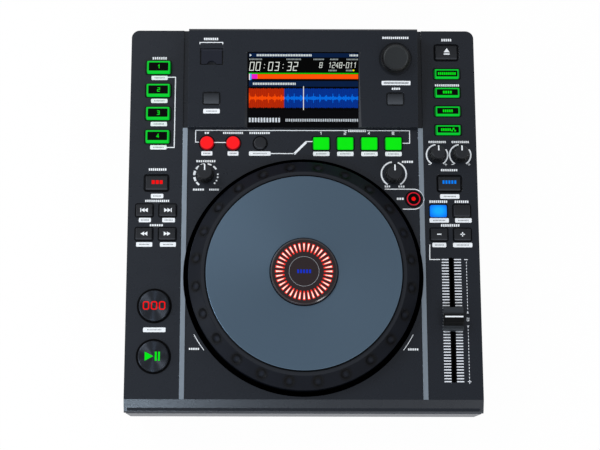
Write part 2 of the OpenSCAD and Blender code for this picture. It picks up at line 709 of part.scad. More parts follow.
module display_housing() color(case_black) difference() {
  union() {
    difference() {
      deck_block(0, 0, 0, 0);
      deck_block(deck_wall, deck_wall, deck_wall, -1);
    }
    intersection() {
      deck_bosses();
      deck_block(0.5, 0.5, 0.5, -20);
    }
    // block round the socket's flap
    on_deck(-deck_left_x, usb_s) translate([0, 0, -6])
      block(usb_recess_w + 6, usb_recess_l + 4, 1.5, 6 - 1);
  }
  // sunk display window, open at the deck's front
  on_glass(0, 0) translate([0, 30, 0]) along_y(140, [
    [-glass_w / 2, 0], [glass_w / 2, 0], [glass_w / 2 + 12, 12], [-glass_w / 2 - 12, 12]]);
  on_glass(0, glass_l / 2 - 5) translate([0, 0, -glass_t]) linear_extrude(glass_t)
    square([glass_w + 2 * glass_tuck + 2 * slack, glass_l + 10 + 2 * slack], center = true);
  on_glass(0, deck_wall + 1 + module_l / 2) translate([0, 0, -glass_t - 12])
    linear_extrude(12) square([module_w + 2 * slack, module_l + 2 * slack], center = true);
  for (b = [memory_b, back_b]) on_deck(b[0], b[1]) button_hole(b);
  on_deck(deck_right_x, browse_s) {
    translate([0, 0, -20]) cylinder(r = bush_hole_r, h = 30);
    translate([0, 0, -1]) cylinder(r = 14.2, h = 5);
  }
  on_deck(-deck_left_x, usb_s) {
    translate([0, 0, -usb_recess_depth]) block(usb_recess_w, usb_recess_l, 0.8, 8);
    translate([0, usb_recess_l / 2 + usb_step_l / 2 - 0.2, -0.3])
      block(usb_recess_w, usb_step_l, 0.6, 8);
    translate([0, 0, -20]) block(usb_shell_w + 0.4, usb_shell_l + 0.4, 0.3, 30);
  }
  on_deck(-deck_left_x, usb_axis_s) translate([0, 0, usb_axis_n]) rotate([0, 90, 0])
    cylinder(r = usb_pin_r + shaft_gap, h = usb_recess_w + 2 * usb_pin_l, center = true);
}

module display_lens() color([0.03, 0.03, 0.04]) on_glass(0, glass_l / 2)
  translate([0, 0, -glass_t]) linear_extrude(glass_t)
    square([glass_w + 2 * glass_tuck, glass_l], center = true);

module display_module() color([0.2, 0.2, 0.22]) on_glass(0, deck_wall + 1 + module_l / 2)
  translate([0, 0, -glass_t - module_t]) {
    linear_extrude(module_t) square([module_w, module_l], center = true);
    translate([0, -4, -1.2]) linear_extrude(1.4) square([60, 40], center = true);
  }

module usb_cover() color(part_black) on_deck(-deck_left_x, usb_axis_s)
  translate([0, 0, usb_axis_n]) difference() {
    union() {
      translate([-usb_flap_w / 2, -usb_flap_l, -usb_flap_t / 2])
        cube([usb_flap_w, usb_flap_l, usb_flap_t]);
      rotate([0, 90, 0]) cylinder(r = usb_barrel_r, h = usb_flap_w, center = true);
      rotate([0, 90, 0])
        cylinder(r = usb_pin_r, h = usb_recess_w + 2 * usb_pin_l - 2 * slack, center = true);
    }
    translate([0, -usb_flap_l - 1.7, 1.4]) rotate([-28, 0, 0])
      cylinder(r = 4.6, h = 12, center = true);
  }

module usb_socket() color(steel) on_deck(-deck_left_x, usb_s)
  translate([0, 0, -deck_board_drop]) {
    difference() {
      block(usb_shell_w, usb_shell_l, 0.3, deck_board_drop - usb_recess_depth);
      translate([0, 0, 1]) block(usb_shell_w - 0.8, usb_shell_l - 0.8, 0.2, 20);
    }
    translate([0, 1, 0.5]) linear_extrude(8) square([11, 1.6], center = true);
  }

module browse_bush() translate([0, 0, -deck_board_drop]) difference() {
  union() {
    translate([-6, -6, 0]) cube([12, 12, 5]);
    cylinder(r = bush_r, h = deck_board_drop - 1.2);
  }
  translate([0, 0, 1]) cylinder(r = shaft_r + shaft_gap, h = 30);
}

module browse_shaft() color(steel) on_deck(deck_right_x, browse_s)
  translate([0, 0, -browse_shaft_end]) cylinder(r = shaft_r, h = browse_shaft_end + browse_h - 3);

module browse_knob() color(part_black) on_deck(deck_right_x, browse_s) difference() {
  rotate_extrude() polygon([
    [0, browse_travel + 0.2], [browse_top_d / 2 + 1.6, browse_travel + 0.2],
    [browse_top_d / 2 + 1.6, 2.2], [browse_top_d / 2 + 0.9, 3],
    [browse_top_d / 2 + 0.4, browse_h - 1.6], [browse_top_d / 2 - 0.2, browse_h - 0.5],
    [browse_top_d / 2 - 1.2, browse_h], [browse_top_d / 2 - 1.8, browse_h - 0.4],
    [0, browse_h - 0.8]]);
  cylinder(r = shaft_r + shaft_gap, h = browse_h - 2.9);
  for (i = [0:23]) rotate(i * 15) translate([browse_top_d / 2 + 1.1, 0, 3.2])
    cylinder(r = 0.8, h = browse_h);
}

// ---------------------------------------------------------------- jog wheel

module jog_ring() color(part_black) at_plate(0, jog_v) difference() {
  rotate_extrude($fn = 96) polygon([
    [rim_r, rim_bottom], [rim_r, rim_shoulder - 0.8], [rim_r - 0.3, rim_shoulder + 0.3],
    [rim_r - 1.2, rim_shoulder + 1.2],
    [land_r + land_w + 0.4, rim_top - 0.2], [land_r + land_w, rim_top], [land_r, rim_top],
    [land_r, web_top], [hub_display_r + head_gap, web_top],
    [hub_display_r + head_gap, head_bottom - 0.5], [bearing_r - 2, head_bottom - 0.5],
    [bearing_r - 2, shoulder_z + bearing_w],
    [bearing_r + shaft_gap, shoulder_z + bearing_w],
    [bearing_r + shaft_gap, sleeve_bottom], [sleeve_r, sleeve_bottom],
    [sleeve_r, encoder_z + encoder_t], [sleeve_r + 3, encoder_z + encoder_t],
    [sleeve_r + 3, web_top - 6.5], [land_r - 4, web_top - 4],
    [rim_r - 3, rim_shoulder - 2], [rim_r - 3, rim_bottom]]);
  for (i = [0:dimple_n - 1]) rotate((i + 0.48) * 360 / dimple_n) dimple();
}

dimple_ball = (dimple_w * dimple_w / 4 + dimple_depth * dimple_depth) / (2 * dimple_depth);
rim_slope = atan2(rim_top - rim_shoulder - 1.4, rim_r - 1.6 - land_r - land_w);
dimple_at = (land_r + land_w + rim_r) / 2 - 0.8;
module dimple()
  translate([dimple_at, 0, rim_shoulder + 1.2 + (rim_r - 1.2 - dimple_at) * tan(rim_slope)])
    rotate([0, rim_slope, 0]) translate([0, 0, dimple_ball - dimple_depth])
      sphere(r = dimple_ball, $fn = 64);

module jog_plate() color([0.29, 0.36, 0.42]) at_plate(0, jog_v) rotate_extrude($fn = 96) polygon([
  [hub_display_r + head_gap, web_top], [jog_plate_r, web_top],
  [jog_plate_r, web_top + jog_plate_t - 0.7], [jog_plate_r - 0.7, web_top + jog_plate_t],
  [hub_display_r + head_gap + 0.4, web_top + jog_plate_t],
  [hub_display_r + head_gap, web_top + jog_plate_t - 0.4]]);

module jog_bearing() color(steel) at_plate(0, jog_v) translate([0, 0, shoulder_z])
  rotate_extrude() polygon([
    [post_r + shaft_gap, 0], [post_r + 1.8, 0], [post_r + 1.8, 0.5], [bearing_r - 1.8, 0.5],
    [bearing_r - 1.8, 0], [bearing_r, 0], [bearing_r, bearing_w], [bearing_r - 1.8, bearing_w],
    [bearing_r - 1.8, bearing_w - 0.5], [post_r + 1.8, bearing_w - 0.5],
    [post_r + 1.8, bearing_w], [post_r + shaft_gap, bearing_w]]);

module encoder_disc() color([0.75, 0.76, 0.78]) at_plate(0, jog_v)
  translate([0, 0, encoder_z]) difference() {
    ring(encoder_r, sleeve_r + 0.1, encoder_t);
    for (i = [0:encoder_slots - 1]) rotate(i * 360 / encoder_slots)
      translate([encoder_r - 5, -1, -1]) cube([3.5, 2, 4]);
  }

module jog_hub() color([0.4, 0.41, 0.43]) at_plate(0, jog_v) difference() {
  union() {
    rotate_extrude() polygon([
      [post_bore_r, -dish_depth], [hub_flange_r + 6, -dish_depth],
      [hub_flange_r + 6, -dish_depth + 1.6], [hub_flange_r - 12, -dish_depth + hub_flange_t],
      [shoulder_r, -dish_depth + hub_flange_t], [shoulder_r, shoulder_z], [post_r, shoulder_z],
      [post_r, head_bottom], [post_bore_r, head_bottom]]);
    // light barrier that reads the encoder disc
    rotate(-90) translate([encoder_r - 8, -5, -dish_depth + 1.5])
      difference() {
        cube([14, 10, encoder_z + dish_depth - 1.5 + encoder_t + 3]);
        translate([-1, -1, encoder_z + dish_depth - 1.5 - 1]) cube([10.5, 12, encoder_t + 2]);
      }
  }
  for (i = [0:hub_screw_n - 1]) rotate(45 + i * 360 / hub_screw_n)
    translate([hub_screw_r, 0, -dish_depth - 1]) cylinder(r = screw_r + slack, h = 20);
}

module jog_display() color([0.1, 0.08, 0.08]) at_plate(0, jog_v)
  rotate_extrude($fn = 96) polygon([
    [0, head_bottom], [hub_display_r, head_bottom],
    [hub_display_r, web_top + jog_plate_t + hub_display_rise - 1.4],
    [hub_display_r - 0.5, web_top + jog_plate_t + hub_display_rise - 0.5],
    [hub_display_r - 1.4, web_top + jog_plate_t + hub_display_rise],
    [0, web_top + jog_plate_t + hub_display_rise]]);

// ---------------------------------------------------------------- knobs and fader

module knob(k) at_plate(k[0], k[1]) difference() {
  union() {
    rotate_extrude() polygon([
      [0, knob_lift], [k[2] + knob_flare, knob_lift], [k[2] + knob_flare, knob_lift + 1.4],
      [k[2] + 0.5, knob_lift + 2.2], [k[2], k[3] - 0.8], [k[2] - 0.8, k[3]], [0, k[3]]]);
    translate([0, 0, -board_drop + 2]) cylinder(r = shaft_r, h = board_drop);
  }
  for (i = [0:flute_n - 1]) rotate((i + 0.5) * 360 / flute_n)
    translate([k[2] + 0.75, 0, knob_lift + 2.4]) cylinder(r = 0.9, h = k[3]);
  translate([-0.6, 1.2, k[3] - 0.35]) cube([1.2, k[2], 1]);
}

module jog_adjust_knob() color(part_black) knob(knobs[0]);
module filter_knob() color(part_black) knob(knobs[1]);
module start_time_knob() color(part_black) knob(knobs[2]);
module stop_time_knob() color(part_black) knob(knobs[3]);

module potentiometer() translate([0, 0, -board_drop]) difference() {
  union() {
    translate([-pot_w / 2, -pot_w / 2, 0]) cube([pot_w, pot_w, pot_h]);
    cylinder(r = bush_r, h = board_drop - 0.3);
  }
  translate([0, 0, 1]) cylinder(r = shaft_r + shaft_gap, h = 30);
}

module fader_body() translate([0, 0, -plate_t - fader_body_h]) difference() {
  linear_extrude(fader_body_h) square([fader_body_w, fader_body_l], center = true);
  translate([0, 0, fader_wall]) linear_extrude(fader_body_h - 2 * fader_wall)
    square([fader_body_w - 2 * fader_wall, fader_travel + 14], center = true);
  translate([0, 0, fader_body_h / 2]) linear_extrude(fader_body_h)
    square([blade_t + 1, fader_travel + blade_w + 1.6], center = true);
}

module potentiometers() color([0.35, 0.37, 0.4]) {
  for (k = knobs) at_plate(k[0], k[1]) potentiometer();
  on_deck(deck_right_x, browse_s) browse_bush();
  at_plate(fader_x, fader_v) fader_body();
}

cap_lift = 0.5;
module pitch_fader_cap() color(part_black) at_plate(fader_x, fader_v) {
  difference() {
    intersection() {
      translate([0, 0, cap_lift]) block(fader_cap_w, fader_cap_l, 1.2, fader_cap_h);
      along_x(fader_cap_w + 2, [
        [-fader_cap_l / 2, cap_lift], [fader_cap_l / 2, cap_lift],
        [fader_cap_l / 2 - 0.6, fader_cap_h - 3], [fader_cap_l / 2 - 1.6, fader_cap_h - 2],
        [5, fader_cap_h - 2.6], [3.2, fader_cap_h - 2.2], [2.4, fader_cap_h], [-2.4, fader_cap_h],
        [-3.2, fader_cap_h - 1.5], [-5, fader_cap_h - 3.4], [-7.6, fader_cap_h - 3.4],
        [-fader_cap_l / 2 + 1.6, fader_cap_h - 2], [-fader_cap_l / 2 + 0.6, fader_cap_h - 3]]);
    }
    translate([0, 0, cap_lift - 1]) block(fader_cap_w - 3, fader_cap_l - 3, 0.6, 4);
    translate([-fader_cap_w, -0.5, fader_cap_h - 0.3]) cube([2 * fader_cap_w, 1, 1]);
  }
  translate([-blade_t / 2, -blade_w / 2, -plate_t - fader_wall - 4])
    cube([blade_t, blade_w, plate_t + fader_wall + 4 + cap_lift + 5]);
  translate([-(fader_body_w - 2 * fader_wall - 0.6) / 2, -4, -plate_t - fader_body_h + fader_wall + 0.3])
    cube([fader_body_w - 2 * fader_wall - 0.6, 8, fader_body_h - 2 * fader_wall - 0.6]);
}

// ---------------------------------------------------------------- boards and sockets

module control_boards() color(board_green) {
  difference() {
    union() {
      for (s = [-1, 1]) {
        v0 = s > 0 ? fader_v + fader_body_l / 2 + 1 : play_v - 23.9;
        translate([s > 0 ? well_r + wall_t + 0.8 : -case_w / 2 + 6, yv(v0), top_z - board_drop - board_t])
          cube([case_w / 2 - 6 - well_r - wall_t - 0.8, case_d - 8 - v0, board_t]);
      }
      translate([-trim_x + 2.1, yv(slip_v - 9.1), top_z - board_drop - board_t])
        cube([panel_w - 4.2, deck_v - slip_v + 8.1, board_t]);
      for (b = plate_buttons) at_plate(b[0], b[1]) switch_block();
    }
    at_plate(0, jog_v) translate([0, 0, -30]) cylinder(r = well_r + wall_t + 0.8, h = 40, $fn = 96);
    for (t = towers) at_plate(t[0], t[1]) translate([0, 0, -30]) cylinder(r = tower_r + 0.8, h = 40);
  }
  for (s = [-1, 1]) on_deck(s * (trim_x - 21.6), deck_d / 2)
    translate([0, 0, -deck_board_drop - board_t]) block(34, deck_d - 16.2, 1, board_t);
  for (b = [memory_b, back_b]) on_deck(b[0], b[1])
    translate([0, 0, board_drop - deck_board_drop]) switch_block();
}

// finned heat sink
module heat_sink(w, l, h, n) {
  translate([-w / 2, -l / 2, 0]) cube([w, l, 2.5]);
  for (i = [0:n - 1])
    translate([-w / 2 + i * (w - 1.2) / (n - 1), -l / 2, 2]) cube([1.2, l, h - 2]);
}

pcb_z = floor_z + standoff_h;
board_w = board_x[1] - board_x[0];
board_l = board_v[1] - board_v[0];
module main_board() color(board_green) {
  translate([board_x[0], yv(board_v[0]), pcb_z]) cube([board_w, board_l, board_t]);
  translate([board_x[0], yv(board_v[0]), pcb_z + board_t - eps]) {
    translate([0.3 * board_w, 0.36 * board_l, 0])
      heat_sink(0.18 * board_w, 0.28 * board_l, 12, 9);
    translate([0.52 * board_w, 0.25 * board_l, 0]) cube([0.1 * board_w, 0.15 * board_l, 1.8]);
    for (i = [0:3]) translate([(0.78 + 0.047 * i) * board_w, 0.21 * board_l, 0])
      cylinder(r = 0.021 * board_w, h = 14);
    translate([0.8 * board_w, 0.46 * board_l, 0]) cube([0.14 * board_w, 0.25 * board_l, 14]);
  }
}

// phono socket: body on the board behind the panel, barrel through the panel
phono_w = 12;
phono_body_r = 6.2;
phono_depth = 14;
module phono() {
  difference() {
    union() {
      translate([-phono_w / 2, -phono_body_r, -phono_depth])
        cube([phono_w, jack_z - pcb_z - board_t + phono_body_r, phono_depth - rear_t]);
      translate([0, 0, -rear_t - 1]) cylinder(r = phono_r, h = jack_reach + rear_t + 1);
      translate([0, 0, -rear_t - 1])
        cylinder(r = phono_r + phono_collar, h = rear_t + 1 + collar_proud);
    }
    translate([0, 0, jack_reach - 8]) cylinder(r = 1.7, h = 9);
  }
}

module socket_box(w, l, depth, inner_w, inner_l, cavity) difference() {
  union() {
    translate([-w / 2, -l / 2, -depth]) cube([w, l, depth]);
    translate([-w / 2, 0, -depth]) cube([w, jack_z - pcb_z - board_t, depth - rear_t]);
  }
  translate([-inner_w / 2, -inner_l / 2, -cavity]) cube([inner_w, inner_l, cavity + 1]);
}

// standard sockets: [width, height, depth, opening's width and height, opening's depth]
rj_size = [16, 13.5, 21, 11.8, 8, 13];
usb_b_size = [12, 11, 16, 8.5, 7.8, 9];
usb_b_tongue = [5.6, 3.2, 11];
module rear_jacks() color(part_black) {
  for (x = phono_x) on_rear(x, jack_z) phono();
  on_rear(rj_x, jack_z)
    socket_box(rj_size[0], rj_size[1], rj_size[2], rj_size[3], rj_size[4], rj_size[5]);
  on_rear(usb_b_x, jack_z) {
    socket_box(usb_b_size[0], usb_b_size[1], usb_b_size[2], usb_b_size[3], usb_b_size[4],
               usb_b_size[5]);
    translate([-usb_b_tongue[0] / 2, -usb_b_tongue[1] / 2, -12]) cube(usb_b_tongue);
  }
  // mains inlet for a two-pole lead: flange outside, body through the panel
  on_rear(inlet_x, jack_z) difference() {
    union() {
      translate([0, 0, 0]) block(27, 19, 3, 1.6);
      translate([0, 0, -17]) block(21, 13, 2, 18);
    }
    translate([0, 0, -12]) block(14.2, 8, 3.9, 20);
  }
  on_rear(inlet_x, jack_z) for (s = [-1, 1])
    translate([s * 4.3, 0, -13]) cylinder(r = 1.15, h = 10);
  // frame of the power switch
  on_rear(rocker_x, jack_z) difference() {
    union() {
      block(23, 16, 1.5, 1.6);
      translate([0, 0, -14]) block(19, 12.8, 1, 15);
    }
    translate([0, 0, -9]) block(16, 10.4, 0.5, 20);
    translate([0, 0, -1.2]) rotate([90, 0, 0])
      cylinder(r = 1 + shaft_gap, h = 12.4, center = true);
  }
}

rocker_tilt = 8;
module power_rocker() color(part_black) on_rear(rocker_x, jack_z) translate([0, 0, -1.2])
  rotate([0, rocker_tilt, 0]) {
    intersection() {
      translate([0, 5, 0]) rotate([90, 0, 0]) linear_extrude(10) polygon([
        [-7.2, -1.5], [-2, -3.5], [2, -3.5], [7.2, -1.5], [7.4, 3.4], [0, 2.2], [-7.4, 3.4]]);
      cylinder(r = 9, h = 20, center = true);
    }
    rotate([90, 0, 0]) cylinder(r = 1, h = 12, center = true);
  }

// ---------------------------------------------------------------- buttons

module hot_cue_1() color(lit_green) window_button(pad(1), 1.8, 1.6);
module hot_cue_2() color(lit_green) window_button(pad(2), 1.8, 1.6);
module hot_cue_3() color(lit_green) window_button(pad(3), 1.8, 1.6);
module hot_cue_4() color(lit_green) window_button(pad(4), 1.8, 1.6);
module link_button() color(lit_green) window_button(source(0), 1.7, 1.4);
module midi_button() color(lit_green) window_button(source(1), 1.7, 1.4);
module usb_button() color(lit_green) window_button(source(2), 1.7, 1.4);
module settings_button() color(lit_green) window_button(source(3), 1.7, 1.4);
module auto_loop_1() color(lit_green) plate_button(auto_btn(0));
module auto_loop_2() color(lit_green) plate_button(auto_btn(1));
module auto_loop_3() color(lit_green) plate_button(auto_btn(2));
module auto_loop_4() color(lit_green) plate_button(auto_btn(3));
module loop_in_button() color(lit_red) plate_button(loop_in_b);
module loop_out_button() color(lit_red) plate_button(loop_out_b);
module reloop_button() color(part_black) plate_button(reloop_b);
module slip_button() color(lit_red) plate_button(slip_b);
module reverse_button() color(part_black) plate_button(reverse_b);
module jog_mode_button() color(part_black) plate_button(jog_mode_b);
module eject_button() color(part_black) plate_button(eject_b);
module track_prev_button() color(part_black) plate_button(track_prev_b);
module track_next_button() color(part_black) plate_button(track_next_b);
module search_back_button() color(part_black) plate_button(search_back_b);
module search_fwd_button() color(part_black) plate_button(search_fwd_b);
module key_lock_button() color(lit_blue) plate_button(key_lock_b);
module tap_button() color(part_black) plate_button(tap_b);
module pitch_minus_button() color(part_black) plate_button(pitch_minus_b);
module pitch_plus_button() color(part_black) plate_button(pitch_plus_b);
module cue_button() color(steel) plate_button(cue_b);
module play_button() color(steel) plate_button(play_b);
module deck_button(b) on_deck(b[0], b[1]) button(b, deck_wall);
module memory_button() color(part_black) deck_button(memory_b);
module back_button() color(part_black) deck_button(back_b);

top_case();
base_tray();
rear_panel();
display_housing();
display_lens();
display_module();
trim_strips();
jog_hub();
jog_display();
main_board();
control_boards();
potentiometers();
usb_socket();
rear_jacks();
feet();
case_screws();
jog_ring();
jog_plate();
jog_bearing();
encoder_disc();
browse_shaft();
browse_knob();
jog_adjust_knob();
filter_knob();
start_time_knob();
stop_time_knob();
pitch_fader_cap();
usb_cover();
power_rocker();
hot_cue_1();
hot_cue_2();
hot_cue_3();
hot_cue_4();
reverse_button();
track_prev_button();
track_next_button();
search_back_button();
search_fwd_button();
cue_button();
play_button();
memory_button();
back_button();
eject_button();
settings_button();
usb_button();
midi_button();
link_button();
jog_mode_button();
key_lock_button();
tap_button();
pitch_minus_button();
pitch_plus_button();
loop_in_button();
loop_out_button();
reloop_button();
auto_loop_1();
auto_loop_2();
auto_loop_3();
auto_loop_4();
slip_button();
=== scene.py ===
"""Looks of the tabletop media player: finishes, printed marks, lamps and camera."""
import math

import bpy
from mathutils import Matrix, Vector
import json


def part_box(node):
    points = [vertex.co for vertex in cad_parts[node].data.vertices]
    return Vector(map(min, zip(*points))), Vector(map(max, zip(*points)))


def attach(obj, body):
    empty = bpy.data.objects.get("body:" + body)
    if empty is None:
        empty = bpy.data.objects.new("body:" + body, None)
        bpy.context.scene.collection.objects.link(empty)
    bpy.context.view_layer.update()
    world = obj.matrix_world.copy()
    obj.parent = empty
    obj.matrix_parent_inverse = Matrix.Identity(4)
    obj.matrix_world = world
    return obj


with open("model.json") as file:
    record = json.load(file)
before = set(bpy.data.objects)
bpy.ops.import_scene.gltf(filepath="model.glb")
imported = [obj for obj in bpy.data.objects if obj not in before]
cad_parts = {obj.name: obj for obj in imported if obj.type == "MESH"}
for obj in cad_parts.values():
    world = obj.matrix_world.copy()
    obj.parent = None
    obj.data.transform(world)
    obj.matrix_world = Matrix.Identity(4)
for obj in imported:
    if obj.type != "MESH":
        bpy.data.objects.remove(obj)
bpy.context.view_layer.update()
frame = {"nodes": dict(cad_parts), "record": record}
MM = 0.001  # in metres
METRE = 1000  # in millimetres

# ---------------------------------------------------------------- shader values


class Value:
    """A number or colour inside a material, which can be worked with like a number."""

    def __init__(self, graph, socket):
        self.graph, self.socket = graph, socket

    def math(self, kind, *others):
        return self.graph.calc(kind, self, *others)

    def __add__(self, other):
        return self.math("ADD", other)

    def __radd__(self, other):
        return self.graph.calc("ADD", other, self)

    def __sub__(self, other):
        return self.math("SUBTRACT", other)

    def __rsub__(self, other):
        return self.graph.calc("SUBTRACT", other, self)

    def __mul__(self, other):
        return self.math("MULTIPLY", other)

    def __rmul__(self, other):
        return self.graph.calc("MULTIPLY", other, self)

    def __truediv__(self, other):
        return self.math("DIVIDE", other)

    def __rtruediv__(self, other):
        return self.graph.calc("DIVIDE", other, self)

    def ramp(self, start, end, first=0.0, last=1.0):
        """From first at start to last at end, and level outside them."""
        return self.graph.node("ShaderNodeMapRange", {
            "Value": self, "From Min": start, "From Max": end, "To Min": first, "To Max": last})

    def above(self, edge, soft):
        """0 below edge and 1 above it, with a step that is soft on both sides."""
        return self.ramp(edge - soft, edge + soft)

    def below(self, edge, soft):
        """1 below edge and 0 above it."""
        return self.ramp(edge - soft, edge + soft, 1.0, 0.0)

    def size(self):
        return self.math("ABSOLUTE")


def distance(x, y):
    return (x * x + y * y).math("SQRT")


class Graph:
    """The nodes of a material or of the room."""

    def __init__(self, tree):
        self.tree = tree

    def feed(self, socket, value):
        """Link a socket to a Value, or set it to a number or a colour."""
        if isinstance(value, Value):
            self.tree.links.new(value.socket, socket)
        elif hasattr(socket.default_value, "__len__") and len(socket.default_value) == 4:
            socket.default_value = (*value, 1)
        else:
            socket.default_value = value

    def node(self, kind, inputs=None, output=0, **settings):
        """A new node: its settings first, then what its sockets get. Gives one output."""
        node = self.tree.nodes.new(kind)
        for key, value in settings.items():
            setattr(node, key, value)
        for key, value in (inputs or {}).items():
            self.feed(node.inputs[key], value)
        return Value(self, node.outputs[output])

    def calc(self, kind, *numbers):
        return self.node("ShaderNodeMath", dict(enumerate(numbers)), operation=kind)

    def place(self, kind):
        """A place on the piece: Object is in metres, Generated runs over its own box."""
        return self.node("ShaderNodeTexCoord", output=kind)

    def parts(self, place):
        """The x, y and z of a place."""
        split = self.node("ShaderNodeSeparateXYZ", {"Vector": place})
        return [Value(self, socket) for socket in split.socket.node.outputs]

    def light_path(self, way):
        """1 for rays of one kind, such as the camera's."""
        return self.node("ShaderNodeLightPath", output=way)


# Sockets of a Mix node, whose names repeat: numbers first, then colours.
MASK, FIRST, SECOND = 0, 2, 3
FIRST_COLOUR, SECOND_COLOUR, MIXED_COLOUR = 6, 7, 2


class Skin(Graph):
    """One material and its shader."""

    def __init__(self, name, colour, rough, metal=0.0, specular=0.5, glow=0.0):
        self.material = bpy.data.materials.new(name)
        self.material.use_nodes = True
        self.material.diffuse_color = (*colour, 1)
        super().__init__(self.material.node_tree)
        self.shader = self.tree.nodes["Principled BSDF"]
        self.put("Base Color", colour)
        self.put("Roughness", rough)
        self.put("Metallic", metal)
        self.put("Specular IOR Level", specular)
        self.put("Emission Strength", glow)
        self.colour, self.rough, self.spot = colour, rough, None

    def put(self, name, value):
        self.feed(self.shader.inputs[name], value)

    def at(self):
        """The place on the object, in millimetres, as (x, y, z)."""
        self.spot = self.spot or [part * METRE for part in self.parts(self.place("Object"))]
        return self.spot

    def off(self, centre):
        """How far to the right and to the rear of an upright axis, in millimetres."""
        x, y, _ = self.at()
        return x - centre[0], y - centre[1]

    def across(self):
        """The place in the piece's own box: -1 to 1 from left to right and front to rear."""
        return [part * 2 - 1 for part in self.parts(self.place("Generated"))[:2]]

    def noise(self, size, detail=2.0, stretch=(1, 1, 1)):
        """Soft noise from 0 to 1 whose blotches are about size millimetres wide."""
        place = self.node("ShaderNodeMapping", {
            "Vector": self.place("Object"), "Scale": tuple(METRE / size / s for s in stretch)})
        return self.node("ShaderNodeTexNoise", {
            "Vector": place, "Scale": 1.0, "Detail": detail})

    def mix(self, mask, a, b):
        """Colour a where mask is 0, and b where it is 1."""
        return self.node("ShaderNodeMix", {MASK: mask, FIRST_COLOUR: a, SECOND_COLOUR: b},
                         MIXED_COLOUR, data_type="RGBA")

    def shade(self, amount, spread):
        """Base colour that varies by spread with amount, a value from 0 to 1."""
        high = tuple(min(1, c * (1 + spread)) for c in self.colour)
        self.put("Base Color", self.mix(amount, dim(self.colour, 1 - spread), high))

    def wear(self, amount, spread):
        """Roughness that varies by spread about the finish's own with amount."""
        self.put("Roughness", amount * spread + (self.rough - spread / 2))

    def soft_edges(self, edge):
        return self.node("ShaderNodeBevel", {"Radius": edge * MM}, samples=4)

    def bump(self, height, depth, edge=0.0):
        """Bump of depth millimetres over edges rounded by edge millimetres."""
        inputs = {"Height": height, "Distance": depth * MM, "Strength": 1.0}
        if edge:
            inputs["Normal"] = self.soft_edges(edge)
        self.put("Normal", self.node("ShaderNodeBump", inputs))

    def grain(self, depth, edge=0.0, size=0.5):
        """The fine grain of a mould or of paint."""
        self.bump(self.noise(size, 3), depth, edge)

    def blend(self, mask, other):
        """Show another shader instead of the finish where mask is 1."""
        both = self.node("ShaderNodeMixShader", {
            MASK: mask, 1: Value(self, self.shader.outputs[0]), 2: other})
        self.feed(self.tree.nodes["Material Output"].inputs[0], both)

    def blacken(self, mask):
        """Blend the whole finish to black where mask is 1, for deep unlit gaps."""
        self.blend(mask, self.node("ShaderNodeBsdfDiffuse", {"Color": UNLIT_BLACK}))


# ---------------------------------------------------------------- finishes

UNLIT_BLACK = (0.0008, 0.0008, 0.001)
STEEL = (0.45, 0.46, 0.48)
CAP_SHARE = 0.08  # what a lit cap's own plastic keeps of its lamp's colour
BLOTCH = 9  # width in millimetres of the uneven sheen on satin plastic
QUARTER_TURN = 0.25  # turns the stretched glints of spun metal across its rings
# Places in a cap's own box, from -1 at its front to 1 at its rear.
CAP_LIP, CAP_LIP_HALF = -0.74, 0.07
GRIP_FRONT, GRIP_REAR = -0.62, 0.42


def dim(colour, share):
    return tuple(c * share for c in colour)


def satin(name, colour, rough, specular):
    """The start of every satin plastic: its sheen is a little uneven."""
    s = Skin(name, colour, rough, specular=specular)
    s.wear(s.noise(BLOTCH), spread=0.08)
    return s


def moulded(name, colour, rough, grain, edge, specular=0.3):
    """Satin plastic with a fine moulded grain."""
    s = satin(name, colour, rough, specular)
    s.shade(s.noise(38), spread=0.06)
    s.grain(grain, edge)
    return s.material


def case_plastic():
    """The case: charcoal, with painted light: bluer to the left as a painted reflection of the
    bright room, a painted highlight on the front bevel, and painted shade that blackens the
    well round the jog wheel.
    """
    s = Skin("case_plastic", (0.013, 0.016, 0.0222), 0.275, specular=0.5)
    bluish, charcoal = (0.0125, 0.0158, 0.0225), (0.0092, 0.012, 0.018)
    bevel_highlight = (0.035, 0.04, 0.05)
    x, y, z = s.at()
    # Painted reflection: bluer on the left, where the room is bright.
    top = s.mix(x.above(0, soft=CASE_HALF), bluish, charcoal)
    # Painted highlight along the front bevel.
    s.put("Base Color", s.mix(y.above(FRONT + BEVEL, soft=0.2), bevel_highlight, top))
    s.wear(s.noise(12), spread=0.05)
    s.grain(depth=0.006, edge=0.35, size=0.45)
    # Painted shade: the well round the jog wheel goes black below the plate.
    in_well = distance(*s.off(jog_centre)).below(WELL_EDGE, soft=0.1)
    s.blacken(in_well * z.below(PLATE - WELL_LIP, soft=0.2))
    return s.material


def anodised(name, colour, rough):
    """Satin anodised metal with a fine brushed run from front to rear."""
    s = Skin(name, colour, rough, metal=1.0)
    fine = s.noise(0.35, stretch=(1, 40, 1))
    s.shade(fine, spread=0.05)
    s.wear(fine, spread=0.08)
    s.bump(fine, depth=0.004, edge=0.2)
    return s.material


def spun(name, colour, rough, centre, fine, anisotropy, rim=None):
    """Metal turned on a lathe: fine rings round centre, and an edge beyond rim blackened as
    painted shade.
    """
    s = Skin(name, colour, rough, metal=1.0)
    away = distance(*s.off(centre))
    rings = s.node("ShaderNodeTexNoise", {
        "W": away / fine, "Scale": 1.0, "Detail": 3.0}, noise_dimensions="1D")
    s.shade(rings, spread=0.06)
    s.wear(rings, spread=0.08)
    s.put("Anisotropic", anisotropy)
    s.put("Anisotropic Rotation", QUARTER_TURN)
    s.bump(rings, depth=0.003)
    # Painted shade: the edge beyond rim goes black.
    if rim:
        s.blacken(away.above(rim, soft=0.15))
    return s.material


def gloss(name, colour, rough, specular=0.5):
    """Polished plastic or a glass cover."""
    s = Skin(name, colour, rough, specular=specular)
    s.wear(s.noise(20), spread=0.03)
    s.shade(s.noise(30), spread=0.05)
    return s.material


def lamp_plastic(name, colour, specular, glow=1.0):
    """The start of every lit finish."""
    return Skin(name, dim(colour, CAP_SHARE), 0.4, specular=specular, glow=glow)


